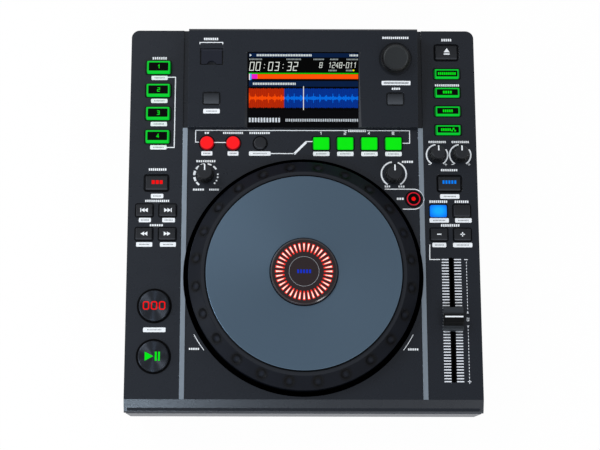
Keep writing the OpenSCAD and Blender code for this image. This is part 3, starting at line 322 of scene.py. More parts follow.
def lit(name, colour, glow=1.0):
    """A mark with a lamp behind it."""
    s = lamp_plastic(name, colour, 0.06, glow)
    s.put("Emission Color", s.mix(s.noise(6), dim(colour, 0.88), colour))
    return s.material


def lens_cap(name, colour, rim, reach, front, round_rim=False):
    """A lit cap: rim colour outside reach of its half width, or behind front of its depth."""
    s = lamp_plastic(name, colour, 0.12)
    x, y = s.across()
    if round_rim:
        edge = distance(x, y).above(reach, soft=0.05)
    else:
        edge = x.size().above(reach, soft=0.03).math("MAXIMUM", y.above(front, soft=0.03))
    lamp = s.mix(s.noise(6), dim(colour, 0.9), colour)
    s.put("Emission Color", s.mix(edge, lamp, rim))
    s.put("Normal", s.soft_edges(0.2))
    return s.material


def glowing_cap(name, middle, outside):
    """A lit cap that fades from its middle to its sides."""
    s = lamp_plastic(name, middle, 0.12)
    away = distance(*s.across()).above(0.75, soft=0.4)
    s.put("Emission Color", s.mix(away, middle, outside))
    s.put("Normal", s.soft_edges(0.2))
    return s.material


def button_plastic(name, dark, light, lip, specular=0.3):
    """A button's satin cap, with painted light: paler towards its front, and a painted
    highlight along its front lip.
    """
    s = satin(name, dark, 0.42, specular)
    y = s.across()[1]
    # Painted light: paler towards the front.
    face = s.mix(y.below(0.1, soft=0.9), dark, light)
    # Painted highlight along the front lip.
    off_lip = (y - CAP_LIP).size().above(CAP_LIP_HALF, soft=0.03)
    s.put("Base Color", s.mix(off_lip, lip, face))
    s.grain(depth=0.01, edge=0.25)
    return s.material


def knob_plastic(name, top, skirt, top_reach):
    """A knob: a satin top and a fluted side darkened as painted shade."""
    s = satin(name, top, 0.45, 0.22)
    # Painted shade on the side beyond top_reach.
    side = distance(*s.across()).above(top_reach, soft=0.04)
    s.put("Base Color", s.mix(side, top, skirt))
    s.grain(depth=0.012, edge=0.25)
    return s.material


def fader_plastic():
    """The fader's grip, with painted light: front and rear slopes pale as if lit, and painted
    shade in the dark hollow between.
    """
    s = satin("fader_grip", (0.016, 0.018, 0.021), 0.4, 0.2)
    hollow = (0.0012, 0.0014, 0.0018)
    rear, front = (0.03, 0.034, 0.04), (0.032, 0.037, 0.043)
    y = s.across()[1]
    # Painted shade in the hollow, painted light on the slopes.
    grip = s.mix(y.above(GRIP_REAR, soft=0.12), hollow, rear)
    s.put("Base Color", s.mix(y.below(GRIP_FRONT, soft=0.06), grip, front))
    s.grain(depth=0.01, edge=0.3)
    return s.material


def ring_plastic():
    """The jog wheel's ring: soft black, with painted shade round its dimples and a painted
    highlight in their middles, a paler inner land, and its outer wall blackened as painted
    shade.
    """
    s = satin("ring_black", (0.003, 0.0045, 0.009), 0.5, 0.11)
    low, high = (0.0016, 0.0028, 0.0062), (0.0038, 0.0055, 0.0105)
    shaded = (0.0002, 0.0004, 0.0012)
    hollow, land = (0.0085, 0.011, 0.0185), (0.0185, 0.0205, 0.0255)
    x, y = s.off(jog_centre)
    away, turn = distance(x, y), y.math("ARCTAN2", x)
    step = 2 * math.pi / DIMPLES
    along = ((turn / step - DIMPLE_START).math("FRACT") - 0.5) * (step * DIMPLE_AT)
    reach = distance(along, away - DIMPLE_AT)
    top = s.mix(s.noise(14), low, high)
    # Painted shade round each dimple's rim.
    top = s.mix((reach - DIMPLE_RIM).size().above(1.6, soft=1.5), shaded, top)
    # Painted highlight in each dimple's middle.
    top = s.mix(reach.below(1.5, soft=1.2), top, hollow)
    s.put("Base Color", s.mix(away.below(LAND_OUT, soft=0.3), top, land))
    s.grain(depth=0.012, edge=0.3)
    # Painted shade: the outer wall goes black.
    s.blacken(away.above(RING_EDGE, soft=0.4))
    return s.material


def pot_steel():
    """Bare steel bodies, with painted shade that blackens the fader's body under its slot."""
    s = Skin("pot_steel", STEEL, 0.36, metal=1.0)
    x, y, _ = s.at()
    # Painted shade: black where the body shows through the slot.
    under_slot = x.above(FADER_LEFT, soft=0.5) * y.below(FRONT + FADER_REAR, soft=0.5)
    s.put("Base Color", s.mix(under_slot, STEEL, (0.004, 0.004, 0.004)))
    s.wear(s.noise(3), spread=0.12)
    return s.material


def printed(name, colour):
    """Screen-printed ink."""
    s = Skin(name, colour, 0.55, specular=0.2)
    s.shade(s.noise(1.5), spread=0.04)
    return s.material


def painted(name, colour, rough=0.42, specular=0.4):
    """Fine powder paint."""
    s = Skin(name, colour, rough, specular=specular)
    s.shade(s.noise(30), spread=0.04)
    s.wear(s.noise(5), spread=0.08)
    s.grain(depth=0.02, edge=0.4, size=0.8)
    return s.material


def steel(name, colour=STEEL, rough=0.3):
    """Plated or bare steel."""
    s = Skin(name, colour, rough, metal=1.0)
    s.wear(s.noise(3), spread=0.12)
    s.shade(s.noise(8), spread=0.05)
    s.put("Normal", s.soft_edges(0.15))
    return s.material


def circuit_board():
    """Green solder mask with its tracks showing through."""
    s = Skin("circuit_board", (0.012, 0.085, 0.04), 0.35)
    tracks = s.noise(2.5, detail=1).above(0.5, soft=0.02)
    s.put("Base Color", s.mix(tracks, (0.01, 0.07, 0.033), (0.014, 0.1, 0.047)))
    s.bump(tracks, depth=0.03)
    return s.material


def rubber():
    """Matt rubber, a little uneven."""
    s = Skin("foot_rubber", (0.012, 0.012, 0.013), 0.8, specular=0.25)
    s.shade(s.noise(2), spread=0.1)
    s.grain(depth=0.03, size=0.7)
    return s.material


# ---------------------------------------------------------------- places


def box_mm(node):
    low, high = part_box(node)
    return [c / MM for c in low], [c / MM for c in high]


def centre_of(node):
    low, high = box_mm(node)
    return (low[0] + high[0]) / 2, (low[1] + high[1]) / 2


def top_of(node, sink=0.0):
    """A frame on the middle of a node's top face, or sink below it."""
    return Matrix.Translation((*centre_of(node), box_mm(node)[1][2] - sink))


FLANGE = 1  # what a cap's hidden flange or a knob's skirt adds on each side


def cap_size(node):
    """Width and depth of the part of a cap that shows."""
    low, high = box_mm(node)
    return high[0] - low[0] - 2 * FLANGE, high[1] - low[1] - 2 * FLANGE


case_low, case_high = box_mm("top_case")
FRONT, PLATE = case_low[1], case_high[2]
CASE_HALF = 150
BEVEL = 1.3  # depth of the plate's front bevel
deck_low, deck_high = box_mm("display_housing")
lens_low, lens_high = box_mm("display_lens")
DECK_LIP, DECK_CHAMFER = 4.5, 1.5
GLASS_LIP = 2.0
deck_tilt = math.atan2(deck_high[2] - PLATE - DECK_LIP,
                       deck_high[1] - deck_low[1] - DECK_CHAMFER)
glass_tilt = math.atan2(lens_high[2] - PLATE - GLASS_LIP, lens_high[1] - lens_low[1])


def sloping(lip, tilt):
    """A frame on the slope that starts lip above the plate at the deck's front edge."""
    return Matrix.Translation((0, deck_low[1], PLATE + lip)) @ Matrix.Rotation(tilt, 4, "X")


plate = Matrix.Translation((0, FRONT, PLATE))
deck = sloping(DECK_LIP, deck_tilt)
glass = sloping(GLASS_LIP, glass_tilt)

# ---------------------------------------------------------------- thin shapes

QUARTERS = ((1, 1, 0), (-1, 1, 90), (-1, -1, 180), (1, -1, 270))
CORNER_STEPS = 4


def rounded(x, y, w, l, r):
    """The outline of a rectangle about (x, y), with corners rounded by r."""
    points = []
    for side_x, side_y, start in QUARTERS:
        for k in range(CORNER_STEPS + 1 if r else 1):
            t = math.radians(start + k * 90 / CORNER_STEPS)
            points.append((x + side_x * (w / 2 - r) + r * math.cos(t),
                           y + side_y * (l / 2 - r) + r * math.sin(t)))
    return points


class Sheet:
    """Thin closed shapes laid on one surface and gathered into one mesh."""

    def __init__(self, name, where, body, material, slot, base=-0.03, top=0.03):
        self.name, self.where, self.body = name, where, body
        self.material, self.slot, self.base, self.top = material, slot, base, top
        self.points, self.faces = [], []

    def solid(self, outline):
        """A closed prism on an outline that runs anticlockwise."""
        n, first = len(outline), len(self.points)
        for height in (self.base, self.top):
            self.points += [(x, y, height) for x, y in outline]
        self.faces.append([first + i for i in reversed(range(n))])
        self.faces.append([first + n + i for i in range(n)])
        for i in range(n):
            j = (i + 1) % n
            self.faces.append([first + i, first + j, first + n + j, first + n + i])
        return self

    def strip(self, left, right, closed):
        """A closed ribbon between two lines of points."""
        n, first = len(left), len(self.points)
        for height in (self.base, self.top):
            for row in (left, right):
                self.points += [(x, y, height) for x, y in row]
        lb, rb, lt, rt = (first + k * n for k in range(4))
        for i in range(n if closed else n - 1):
            j = (i + 1) % n
            self.faces += [[lt + i, rt + i, rt + j, lt + j], [lb + i, lb + j, rb + j, rb + i],
                           [lb + i, lt + i, lt + j, lb + j], [rb + i, rb + j, rt + j, rt + i]]
        if not closed:
            e = n - 1
            self.faces += [[lb, rb, rt, lt], [lb + e, lt + e, rt + e, rb + e]]
        return self

    def line(self, points, width, closed=False):
        """A line of even width through points, with mitred corners."""
        left, right, n = [], [], len(points)
        for i, p in enumerate(points):
            p = Vector(p)
            ways = []
            if i or closed:
                ways.append((p - Vector(points[i - 1])).normalized())
            if i < n - 1 or closed:
                ways.append((Vector(points[(i + 1) % n]) - p).normalized())
            run = sum(ways, Vector((0, 0))).normalized()
            side = Vector((-run.y, run.x))
            reach = width / 2 / max(0.35, side.dot(Vector((-ways[0].y, ways[0].x))))
            left.append(tuple(p + side * reach))
            right.append(tuple(p - side * reach))
        return self.strip(left, right, closed)

    def arc(self, x, y, r, start, end, width, steps=0):
        """An arc from start to end degrees, anticlockwise from +X; a ring if it closes."""
        turn = end - start
        steps = steps or max(6, int(abs(turn) / 7.5))
        full = abs(turn) >= 360
        at = [math.radians(start + turn * i / steps) for i in range(steps + (0 if full else 1))]
        return self.line([(x + r * math.cos(a), y + r * math.sin(a)) for a in at], width, full)

    def ring(self, x, y, r, width, steps=0):
        return self.arc(x, y, r, 0, 360, width, steps)

    def dot(self, x, y, r, steps=24):
        return self.solid([(x + r * math.cos(t), y + r * math.sin(t))
                           for t in (2 * math.pi * i / steps for i in range(steps))])

    def bar(self, x, y, w, l, r=0.0):
        """A rectangle with corners rounded by r."""
        return self.solid(rounded(x, y, w, l, r))

    def frame(self, x, y, w, l, width, r):
        """The outline of a rounded rectangle."""
        return self.line(rounded(x, y, w - width, l - width, max(r - width / 2, 0.05)), width,
                         True)

    def word(self, x, y, w, l, letter=1.2, gap=0.55):
        """A row of small bars that stands for a printed word."""
        n = max(2, round(w / (letter + gap)))
        step = (w + gap) / n
        for i in range(n):
            self.bar(x - w / 2 + step * i + (step - gap) / 2, y, step - gap, l)
        return self

    def arrow(self, x, y, w, l, way):
        """A triangle that points left, right, up or down."""
        turn = math.radians({"right": 0, "up": 90, "left": 180, "down": 270}[way])
        c, s = math.cos(turn), math.sin(turn)
        if way in ("up", "down"):
            w, l = l, w
        return self.solid([(x + px * c - py * s, y + px * s + py * c)
                           for px, py in ((w / 2, 0), (-w / 2, l / 2), (-w / 2, -l / 2))])

    def figure(self, text, x, y, w, l, width, gap=0.0, lean=0.0):
        """Plain figures, the first one centred on x."""
        for i, sign in enumerate(text):
            cx = x + i * (w + gap)
            for stroke in FIGURES[sign]:
                self.line([(cx + (u - 0.5 + (v - 0.5) * lean) * w, y + (v - 0.5) * l)
                           for u, v in stroke], width)
        return self

    def build(self):
        mesh = bpy.data.meshes.new(self.name)
        mesh.from_pydata([tuple((self.where @ Vector(p)) * MM) for p in self.points], [],
                         self.faces)
        mesh.materials.append(self.material)
        piece = bpy.data.objects.new(self.name, mesh)
        bpy.context.scene.collection.objects.link(piece)
        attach(piece, self.body)


# Strokes of the figures that are used, in a square from (0, 0) to (1, 1).
FIGURES = {
    "0": [[(0, 0), (0, 1), (1, 1), (1, 0), (-0.06, 0)]],
    "1": [[(0.1, 0.78), (0.55, 1), (0.55, 0)]],
    "2": [[(0, 1), (1, 1), (1, 0.52), (0, 0.48), (0, 0), (1, 0)]],
    "3": [[(0, 1), (1, 1), (1, 0), (0, 0)], [(0.2, 0.5), (1, 0.5)]],
    "4": [[(0.72, 0), (0.72, 1), (0, 0.34), (1.05, 0.34)]],
    "8": [[(0, 0), (0, 1), (1, 1), (1, 0), (-0.06, 0)], [(0, 0.5), (1, 0.5)]],
    ":": [[(0.4, 0.3), (0.6, 0.3)], [(0.4, 0.72), (0.6, 0.72)]],
}

# ---------------------------------------------------------------- colours

DARK_GREEN = (0.0, 0.12, 0.01)
# Painted highlight on the dished buttons' front half and lip.
DISH_HIGHLIGHT = (0.062, 0.068, 0.078)
white_ink = printed("white_ink", (0.86, 0.89, 0.92))
scale_ink = printed("scale_ink", (0.74, 0.77, 0.82))
grey_ink = printed("grey_ink", (0.36, 0.38, 0.4))
dark_ink = printed("dark_ink", (0.16, 0.17, 0.18))
# Black sheets laid as painted shade in gaps.
gap_shade = Skin("gap_shade", (0.0015, 0.0015, 0.002), 0.6, specular=0.05).material
black_window = gloss("black_window", (0.002, 0.002, 0.002), 0.315, specular=0.06)
frame_lamp = lens_cap("frame_lamp", (0.0, 0.62, 0.03), DARK_GREEN, reach=0.865, front=0.78)
source_lamp = lens_cap("source_lamp", (0.0, 0.56, 0.03), DARK_GREEN, reach=0.85, front=0.75)
green_lamp = lens_cap("green_lamp", (0.0, 0.8, 0.003), (0.0, 0.25, 0.01), 0.82, 0.79)
green_mark = lit("green_mark", (0.0, 0.8, 0.008))
# The red caps' dark rim is painted shade round their edge.
red_lamp = lens_cap("red_lamp", (1.0, 0.01, 0.014), (0.18, 0.0, 0.004), 0.79, 0.0,
                    round_rim=True)
red_mark = lit("red_mark", (0.92, 0.003, 0.004))
crimson_mark = lit("crimson_mark", (0.62, 0.012, 0.03))
blue_lamp = glowing_cap("blue_lamp", (0.006, 0.38, 1.0), (0.0, 0.12, 0.82))
blue_mark = lit("blue_mark", (0.0, 0.21, 0.9))
deep_blue_mark = lit("deep_blue_mark", (0.005, 0.03, 0.55))
warm_white = lit("warm_white", (1.0, 0.86, 0.76), 1.15)
led_red = lit("led_red", (1.0, 0.035, 0.02))

button_black = button_plastic("button_black", (0.009, 0.0105, 0.0135), (0.0165, 0.018, 0.022),
                              (0.035, 0.038, 0.046))
button_dished = button_plastic("button_dished", (0.006, 0.007, 0.009), DISH_HIGHLIGHT, DISH_HIGHLIGHT, 0.12)
knob_black = knob_plastic("knob_black", (0.0175, 0.019, 0.0225), (0.0035, 0.004, 0.005), 0.8)
browse_black = knob_plastic("browse_black", (0.021, 0.0235, 0.0255), (0.002, 0.0022, 0.003),
                            0.84)
inner_black = moulded("inner_black", (0.03, 0.03, 0.032), 0.5, 0.02, 0.2)
bare_steel = steel("bare_steel")

# The jog wheel, from its centre outwards.
jog_centre = centre_of("jog_plate")
PLATE_EDGE = box_mm("jog_plate")[1][0] - jog_centre[0]
# The plate's edge is blackened as painted shade.
PLATE_RIM = 0.45  # width of the plate's shaded edge
LAND_OUT = PLATE_EDGE + 3.9
RING_EDGE = box_mm("jog_ring")[1][0]
WELL_EDGE, WELL_LIP = RING_EDGE + 5.0, 0.3
DIMPLES, DIMPLE_START = 24, 0.98
DIMPLE_AT, DIMPLE_RIM = (LAND_OUT + RING_EDGE) / 2 - 0.8, 3.4
# The fader's body lies to the right of and in front of these.
FADER_LEFT, FADER_REAR = 110, 160

case = case_plastic()
board = circuit_board()
FINISH = {
    "top_case": case, "display_housing": case,
    "base_tray": painted("tray_paint", (0.09, 0.095, 0.112), specular=0.25),
    "rear_panel": painted("panel_paint", (0.022, 0.023, 0.026), 0.5),
    "display_lens": gloss("smoked_glass", (0.0015, 0.0015, 0.0022), 0.115, specular=0.1),
    "display_module": inner_black,
    "trim_strips": anodised("trim_metal", (0.47, 0.56, 0.66), 0.36),
    "jog_hub": steel("hub_metal", (0.5, 0.5, 0.52), 0.35),
    "jog_display": gloss("head_black", (0.022, 0.014, 0.016), 0.175),
    "main_board": board, "control_boards": board, "potentiometers": pot_steel(),
    "usb_socket": bare_steel, "rear_jacks": inner_black, "feet": rubber(),
    "case_screws": steel("dark_steel", (0.16, 0.16, 0.17), 0.4),
    "jog_ring": ring_plastic(),
    "jog_plate": spun("spun_plate", (0.14, 0.21, 0.29), 0.42, jog_centre, fine=0.5,
                      anisotropy=0.25, rim=PLATE_EDGE - PLATE_RIM),
    "jog_bearing": bare_steel, "encoder_disc": gloss("encoder_film", (0.4, 0.4, 0.42), 0.315),
    "browse_shaft": bare_steel, "browse_knob": browse_black,
    "pitch_fader_cap": fader_plastic(),
    "usb_cover": moulded("cover_black", (0.0105, 0.0125, 0.021), 0.42, 0.01, 0.25, 0.25),
    "memory_button": button_dished, "back_button": button_dished,
    "power_rocker": inner_black, "key_lock_button": blue_lamp,
    "loop_in_button": red_lamp, "loop_out_button": red_lamp,
}
HOT_CUES = [f"hot_cue_{i}" for i in range(1, 5)]
AUTO_LOOPS = [f"auto_loop_{i}" for i in range(1, 5)]
SOURCES = [f"{name}_button" for name in ("settings", "usb", "midi", "link")]
TRANSPORT = [f"{name}_button" for name in ("cue", "play")]
KNOBS = [f"{name}_knob" for name in ("jog_adjust", "filter", "start_time", "stop_time")]
for nodes, finish in ((HOT_CUES, frame_lamp), (AUTO_LOOPS, green_lamp), (SOURCES, source_lamp),
                      (KNOBS, knob_black)):
    FINISH.update(dict.fromkeys(nodes, finish))
for name in TRANSPORT:
    FINISH[name] = spun(name.replace("button", "cap"), (0.046, 0.052, 0.064), 0.43,
                        centre_of(name), fine=0.25, anisotropy=0.95)
slot_of = {s["node"]: s["material_slot"] for s in frame["record"]["subparts"]}
for name, node in frame["nodes"].items():
    node.data.materials.clear()
    node.data.materials.append(FINISH.get(name, button_black))

# ---------------------------------------------------------------- printed plate


def sheet(name, where=plate, material=white_ink, slot="top_case", **more):
    """A sheet that stays on the fixed player."""
    return Sheet(name, where, "player", material, slot, **more)


def plate_place(column, row=None):
    """Where a node stands on the plate, or the column of one and the row of another."""
    return centre_of(column)[0], centre_of(row or column)[1] - FRONT


words = sheet("plate_words")
pills = sheet("plate_pills")
pill_text = sheet("pill_text", material=dark_ink, top=0.06)
surrounds = sheet("button_surrounds", material=gap_shade, top=0.02)
lines = sheet("plate_lines")
scales = sheet("fader_scale", material=scale_ink)
PILL_DEPTH, PILL_CORNER, PILL_TEXT = 3.9, 0.8, 0.62


def pill(x, v, w, on=pills, text=pill_text):
    """A white pill with a row of small dark bars on it."""
    on.bar(x, v, w, PILL_DEPTH, PILL_CORNER)
    text.word(x, v, w * PILL_TEXT, 1.0, letter=0.6, gap=0.5)


# Painted shade: black sheets round every button, for the shade in the gap.
SURROUND, WIDE_SURROUND, OPENING = 0.7, 1.5, 0.5
for name in HOT_CUES + AUTO_LOOPS + SOURCES + [f"{name}_button" for name in (
        "reverse", "track_prev", "track_next", "search_back", "search_fwd", "eject",
        "jog_mode", "key_lock", "tap", "pitch_minus", "pitch_plus")]:
    w, l = cap_size(name)
    grow = 2 * (OPENING + SURROUND)
    surrounds.frame(*plate_place(name), w + grow, l + grow, SURROUND, 1.9)
for name in TRANSPORT + ["loop_in_button", "loop_out_button", "reloop_button", "slip_button"]:
    wide = WIDE_SURROUND if name in TRANSPORT else SURROUND
    surrounds.ring(*plate_place(name), cap_size(name)[0] / 2 + OPENING + wide / 2, wide)

# Printed words: the nodes whose column and row they keep to, how far to the right and rear
# of those they stand, and their width and depth.
for column, row, right, rear, w, l in (
        ("hot_cue_1", "", 0.6, 8.6, 12.4, 2.3),
        ("reverse_button", "", 0.6, 12.0, 15.1, 2.1),
        ("reverse_button", "", 0.7, -15.8, 20.6, 1.9),
        ("reverse_button", "track_prev_button", 0.4, -12.9, 11.2, 1.8),
        ("loop_in_button", "", -0.2, 9.3, 3.6, 1.8),
        ("loop_out_button", "loop_in_button", -0.2, 9.3, 17.3, 1.8),
        ("reloop_button", "loop_in_button", -0.6, 9.3, 17.6, 1.8),
        ("jog_adjust_knob", "", 0.4, 12.1, 16.4, 1.9),
        ("jog_adjust_knob", "", -5.7, -13.1, 9.4, 1.7),
        ("jog_adjust_knob", "", 7.6, -13.1, 8.2, 1.7),
        ("filter_knob", "", 12.1, 11.9, 9.4, 1.9),
        ("filter_knob", "", -5.6, -10.0, 4.6, 1.7),
        ("filter_knob", "", 6.5, -10.0, 5.3, 1.7),
        ("slip_button", "", -11.3, 0.3, 5.9, 1.9),
        ("eject_button", "", 0.5, 11.7, 8.6, 2.3),
        ("settings_button", "", 0.1, -10.3, 21.1, 2.0),
        ("start_time_knob", "", 0.3, 11.8, 15.0, 1.9),
        ("stop_time_knob", "", 0.3, 11.8, 15.0, 1.9),
        ("jog_mode_button", "", 0.1, 12.0, 14.1, 1.9),
        ("key_lock_button", "", 0.1, 8.3, 15.3, 2.1),
        ("tap_button", "", 0.1, 8.3, 11.8, 2.1),
        ("jog_mode_button", "tap_button", -0.2, -12.5, 15.8, 2.1)):
    x, v = plate_place(column, row)
    words.word(x + right, v + rear, w, l)

# Printed pills, placed in the same way, with their width.
for column, row, right, rear, w in (
        *((name, "", 0.9, -9.3, 14.3) for name in HOT_CUES),
        ("reverse_button", "", 0.6, -11.5, 10.7),
        ("reverse_button", "track_prev_button", -9.5, -8.4, 10.4),
        ("reverse_button", "track_prev_button", 10.8, -8.4, 10.9),
        ("reverse_button", "search_back_button", -9.7, -9.1, 13.8),
        ("reverse_button", "search_back_button", 10.6, -9.1, 13.7),
        ("cue_button", "", 0.3, -20.3, 19.0),
        ("loop_in_button", "", 0.0, -9.1, 9.6),
        ("loop_out_button", "loop_in_button", 0.0, -9.1, 9.4),
        ("reloop_button", "loop_in_button", -0.3, -9.1, 18.7),
        *((name, "auto_loop_1", 0.0, -9.25, 14.2) for name in AUTO_LOOPS),
        ("jog_mode_button", "", 0.1, -11.3, 16.6),
        ("key_lock_button", "", 0.5, -8.1, 16.6),
        ("tap_button", "", 1.2, -8.1, 14.2),
        ("pitch_minus_button", "", 0.1, -9.0, 11.9),
        ("pitch_plus_button", "pitch_minus_button", 0.1, -9.0, 16.5)):
    x, v = plate_place(column, row)
    pill(x + right, v + rear, w)

# Lines: the hot cues' bracket, then the loop brackets and the line that links them.
FINE_LINE, LINE = 0.7, 0.8
x, v = plate_place("hot_cue_1")
low = plate_place("hot_cue_4")[1] - 9.4
lines.line([(x + 8.0, v - 8.7), (x + 14.8, v - 8.7), (x + 14.6, low), (x + 8.0, low)], 0.85)
loop_in_x, loop_v = plate_place("loop_in_button")
loop_out_x = plate_place("loop_out_button")[0]
reloop_x = plate_place("reloop_button")[0]
auto_x, auto_v = plate_place("auto_loop_1")
LOOP_LEFT, LOOP_RIGHT, LOOP_WORD = 38.7, 55.6, 47.1
loop_top = loop_v + 11.6
lines.line([(loop_in_x - 7.1, loop_top - 10.6), (loop_in_x - 9.9, loop_top - 10.6),
            (loop_in_x - 9.9, loop_top), (LOOP_LEFT, loop_top)], FINE_LINE)
lines.line([(LOOP_RIGHT, loop_top), (92.7, loop_top), (92.7, loop_top - 11.2),
            (86.5, loop_top - 11.2)], FINE_LINE)
words.word(LOOP_WORD, loop_top - 0.2, 15.4, 2.1)
lines.line([(loop_in_x + 6.2, loop_v + 0.7), (loop_out_x - 6.2, loop_v + 0.7)], LINE)
lines.line([(reloop_x + 9.0, loop_v - 9.1), (-7.2, loop_v - 9.1)], LINE)
lines.line([(-7.8, loop_v - 9.5), (2.9, loop_v + 1.2)], 2.0)
lines.line([(2.1, loop_v + 1.7), (auto_x - 7.4, loop_v + 1.7)], LINE)
for name, beats in zip(AUTO_LOOPS, "1248"):
    words.figure(beats, plate_place(name)[0] - 0.1, auto_v + 9.3, 1.5, 2.4, 0.5)

# The knobs' scales.
x, v = plate_place("jog_adjust_knob")
SCALE_R = 10.2
for turn, half, width in ((226, 10, 1.5), (199, 10, 1.9), (168, 10.5, 2.0), (137, 10.5, 1.8),
                          (107, 10, 1.4), (73, 10.5, 1.3), (42, 10.5, 1.5)):
    lines.arc(x + 0.7, v - 0.5, SCALE_R, turn - half, turn + half, width, 5)
for turn in (5.5, -9.5, -27, -42.5):
    a = math.radians(turn)
    lines.dot(x + 0.7 + SCALE_R * math.cos(a), v - 0.5 + SCALE_R * math.sin(a), 0.8, 10)
x, v = plate_place("filter_knob")
for start, end in ((300, 430), (98, 240)):
    lines.arc(x + 0.1, v + 1.1, 10.7, start, end, 1.3)
for name in ("start_time_knob", "stop_time_knob"):
    x, v = plate_place(name)
    for start, end in ((-58, 33), (97, 238)):
        lines.arc(x, v + 0.3, 9.2, start, end, 1.2)
    for side in (-1, 1):
        lines.bar(x + 0.3 + side * 7.1, v - 8.2, 2.1, 0.55)
    lines.bar(x + 7.4, v - 8.2, 0.55, 2.1)

# The loop round the slip button, and the two arcs beside the jog wheel.
SLIP_R = 8.8
x, v = plate_place("slip_button")
x += 0.3
round_slip = [(x + SLIP_R * math.sin(math.radians(t)), v + SLIP_R * math.cos(math.radians(t)))
              for t in range(10, 181, 10)]
lines.line([(x - 24.7, v + SLIP_R), (x, v + SLIP_R), *round_slip, (x - 9.6, v - SLIP_R)], LINE)
JOG_ARC_R, JOG_ARC_TURN = 105.1, 8.6
jog_v = jog_centre[1] - FRONT
for side, start in ((-1, 208.5), (1, 331.7)):
    lines.arc(0, jog_v, JOG_ARC_R, start, start - side * JOG_ARC_TURN, 0.6)
    words.word(side * 92.2, jog_v - 62.3, 8.6, 1.7)

# The fader's slot, scale and side scale.
fader_x, fader_v = plate_place("pitch_fader_cap")
scale_top, scale_low = fader_v + 51.4, fader_v - 52.4
x, v = plate_place("pitch_minus_button")
lines.line([(x - 8.0, v - 8.6), (x - 8.3, scale_top), (x + 0.5, scale_top)], FINE_LINE)
SLOT_HALF, SLOT_LENGTH, SLOT_EDGE = 1.3, 106, 1.2
TICKS, TICK_OUT, TICK_LONG, TICK_WIDE = 43, 5.3, 5.9, 0.95
for side in (-1, 1):
    # Painted shade along both edges of the fader's slot.
    surrounds.bar(fader_x + side * (SLOT_HALF + SLOT_EDGE / 2), fader_v, SLOT_EDGE, SLOT_LENGTH)
    for i in range(TICKS):
        v = scale_top + (scale_low - scale_top) * i / (TICKS - 1)
        scales.bar(fader_x + side * TICK_OUT, v, TICK_LONG, TICK_WIDE)
DASHES = 16
side_x = fader_x + 12.8
scales.bar(side_x - 0.3, scale_top, 3.0, 0.7)
for a, b in ((scale_top - 2.6, fader_v + 9.4), (fader_v - 9.0, scale_low + 3.4)):
    for i in range(DASHES):
        scales.bar(side_x, a + (b - a) * i / (DASHES - 1), 0.55, 1.5)
scales.arrow(side_x, fader_v + 6.3, 1.9, 2.4, "up")
scales.arrow(side_x, fader_v - 6.3, 1.9, 2.4, "down")
words.figure("0", side_x, fader_v, 1.5, 2.3, 0.5)
scales.bar(side_x, scale_low, 3.0, 0.7).bar(side_x, scale_low, 0.7, 3.0)
for part in (words, pills, pill_text, surrounds, lines, scales):
    part.build()

# ---------------------------------------------------------------- sloping deck
deck_ink = sheet("deck_marks", deck, slot="display_housing")
deck_text = sheet("deck_pill_text", deck, material=dark_ink, slot="display_housing", top=0.06)
deck_ink.word(-79.8, 76.2, 12.3, 2.0)
deck_ink.line([(-89.5, 71.6), (-89.5, 73.2), (-69.7, 73.2), (-69.7, 71.6)], FINE_LINE)
pill(-79.3, 13.5, 14.4, deck_ink, deck_text)
deck_ink.word(80.0, 77.5, 22.6, 1.9)
deck_ink.bar(80.6, 38.3, 25.0, 3.7, 0.7)
deck_ink.word(80.5, 33.3, 7.1, 1.8)
deck_text.word(80.6, 38.3, 21.5, 1.5, 0.9, 0.3)
deck_ink.build()
deck_text.build()

# ---------------------------------------------------------------- buttons' own marks


def on_button(node, material, sink=0.0, name="mark", **more):
    """A sheet on the top of a cap or knob, which rides with it."""
    return Sheet(f"{node}_{name}", top_of(node, sink), node, material, slot_of[node], **more)


WINDOW_SINK = 0.3  # depth of the lit caps' sunk windows
IN_WINDOW = {"sink": WINDOW_SINK, "base": 0.1, "top": 0.16}


def window(node, border_w, border_l):
    """The black window in the top of a lit cap."""
    w, l = cap_size(node)
    on_button(node, black_window, WINDOW_SINK, "window", base=-0.01, top=0.12).bar(
        0, 0, w - border_w, l - border_l, 0.5).build()


for node, number in zip(HOT_CUES, "1234"):
    window(node, 2.7, 2.6)
    on_button(node, green_mark, **IN_WINDOW).figure(number, 0.4, 0, 1.9, 3.2, 0.6).build()
for node, middle, wide in zip(SOURCES, (0, 0, 0, -2.0), (15.5, 7.6, 8.5, 8.5)):
    window(node, 3.0, 1.5)
    on_button(node, green_mark, **IN_WINDOW).word(middle, 0, wide, 2.4, 1.2, 0.6).build()
net = on_button("link_button", green_mark, name="net", **IN_WINDOW)
net.bar(4.6, 1.0, 1.5, 1.3).bar(3.3, -1.0, 1.5, 1.1).bar(5.9, -1.0, 1.5, 1.1)
net.bar(4.6, 0, 2.9, 0.35).build()


def skip_mark(node, way, bar):
    """Two arrows that point one way, and a bar at their point for a whole track."""
    side = 1 if way == "right" else -1
    mark = on_button(node, white_ink)
    for x in (-1.5, 1.3):
        mark.arrow(x * side, 0, 3.0, 3.7, way)
    if bar:
        mark.bar(3.1 * side, 0, 0.7, 3.6)
    mark.build()


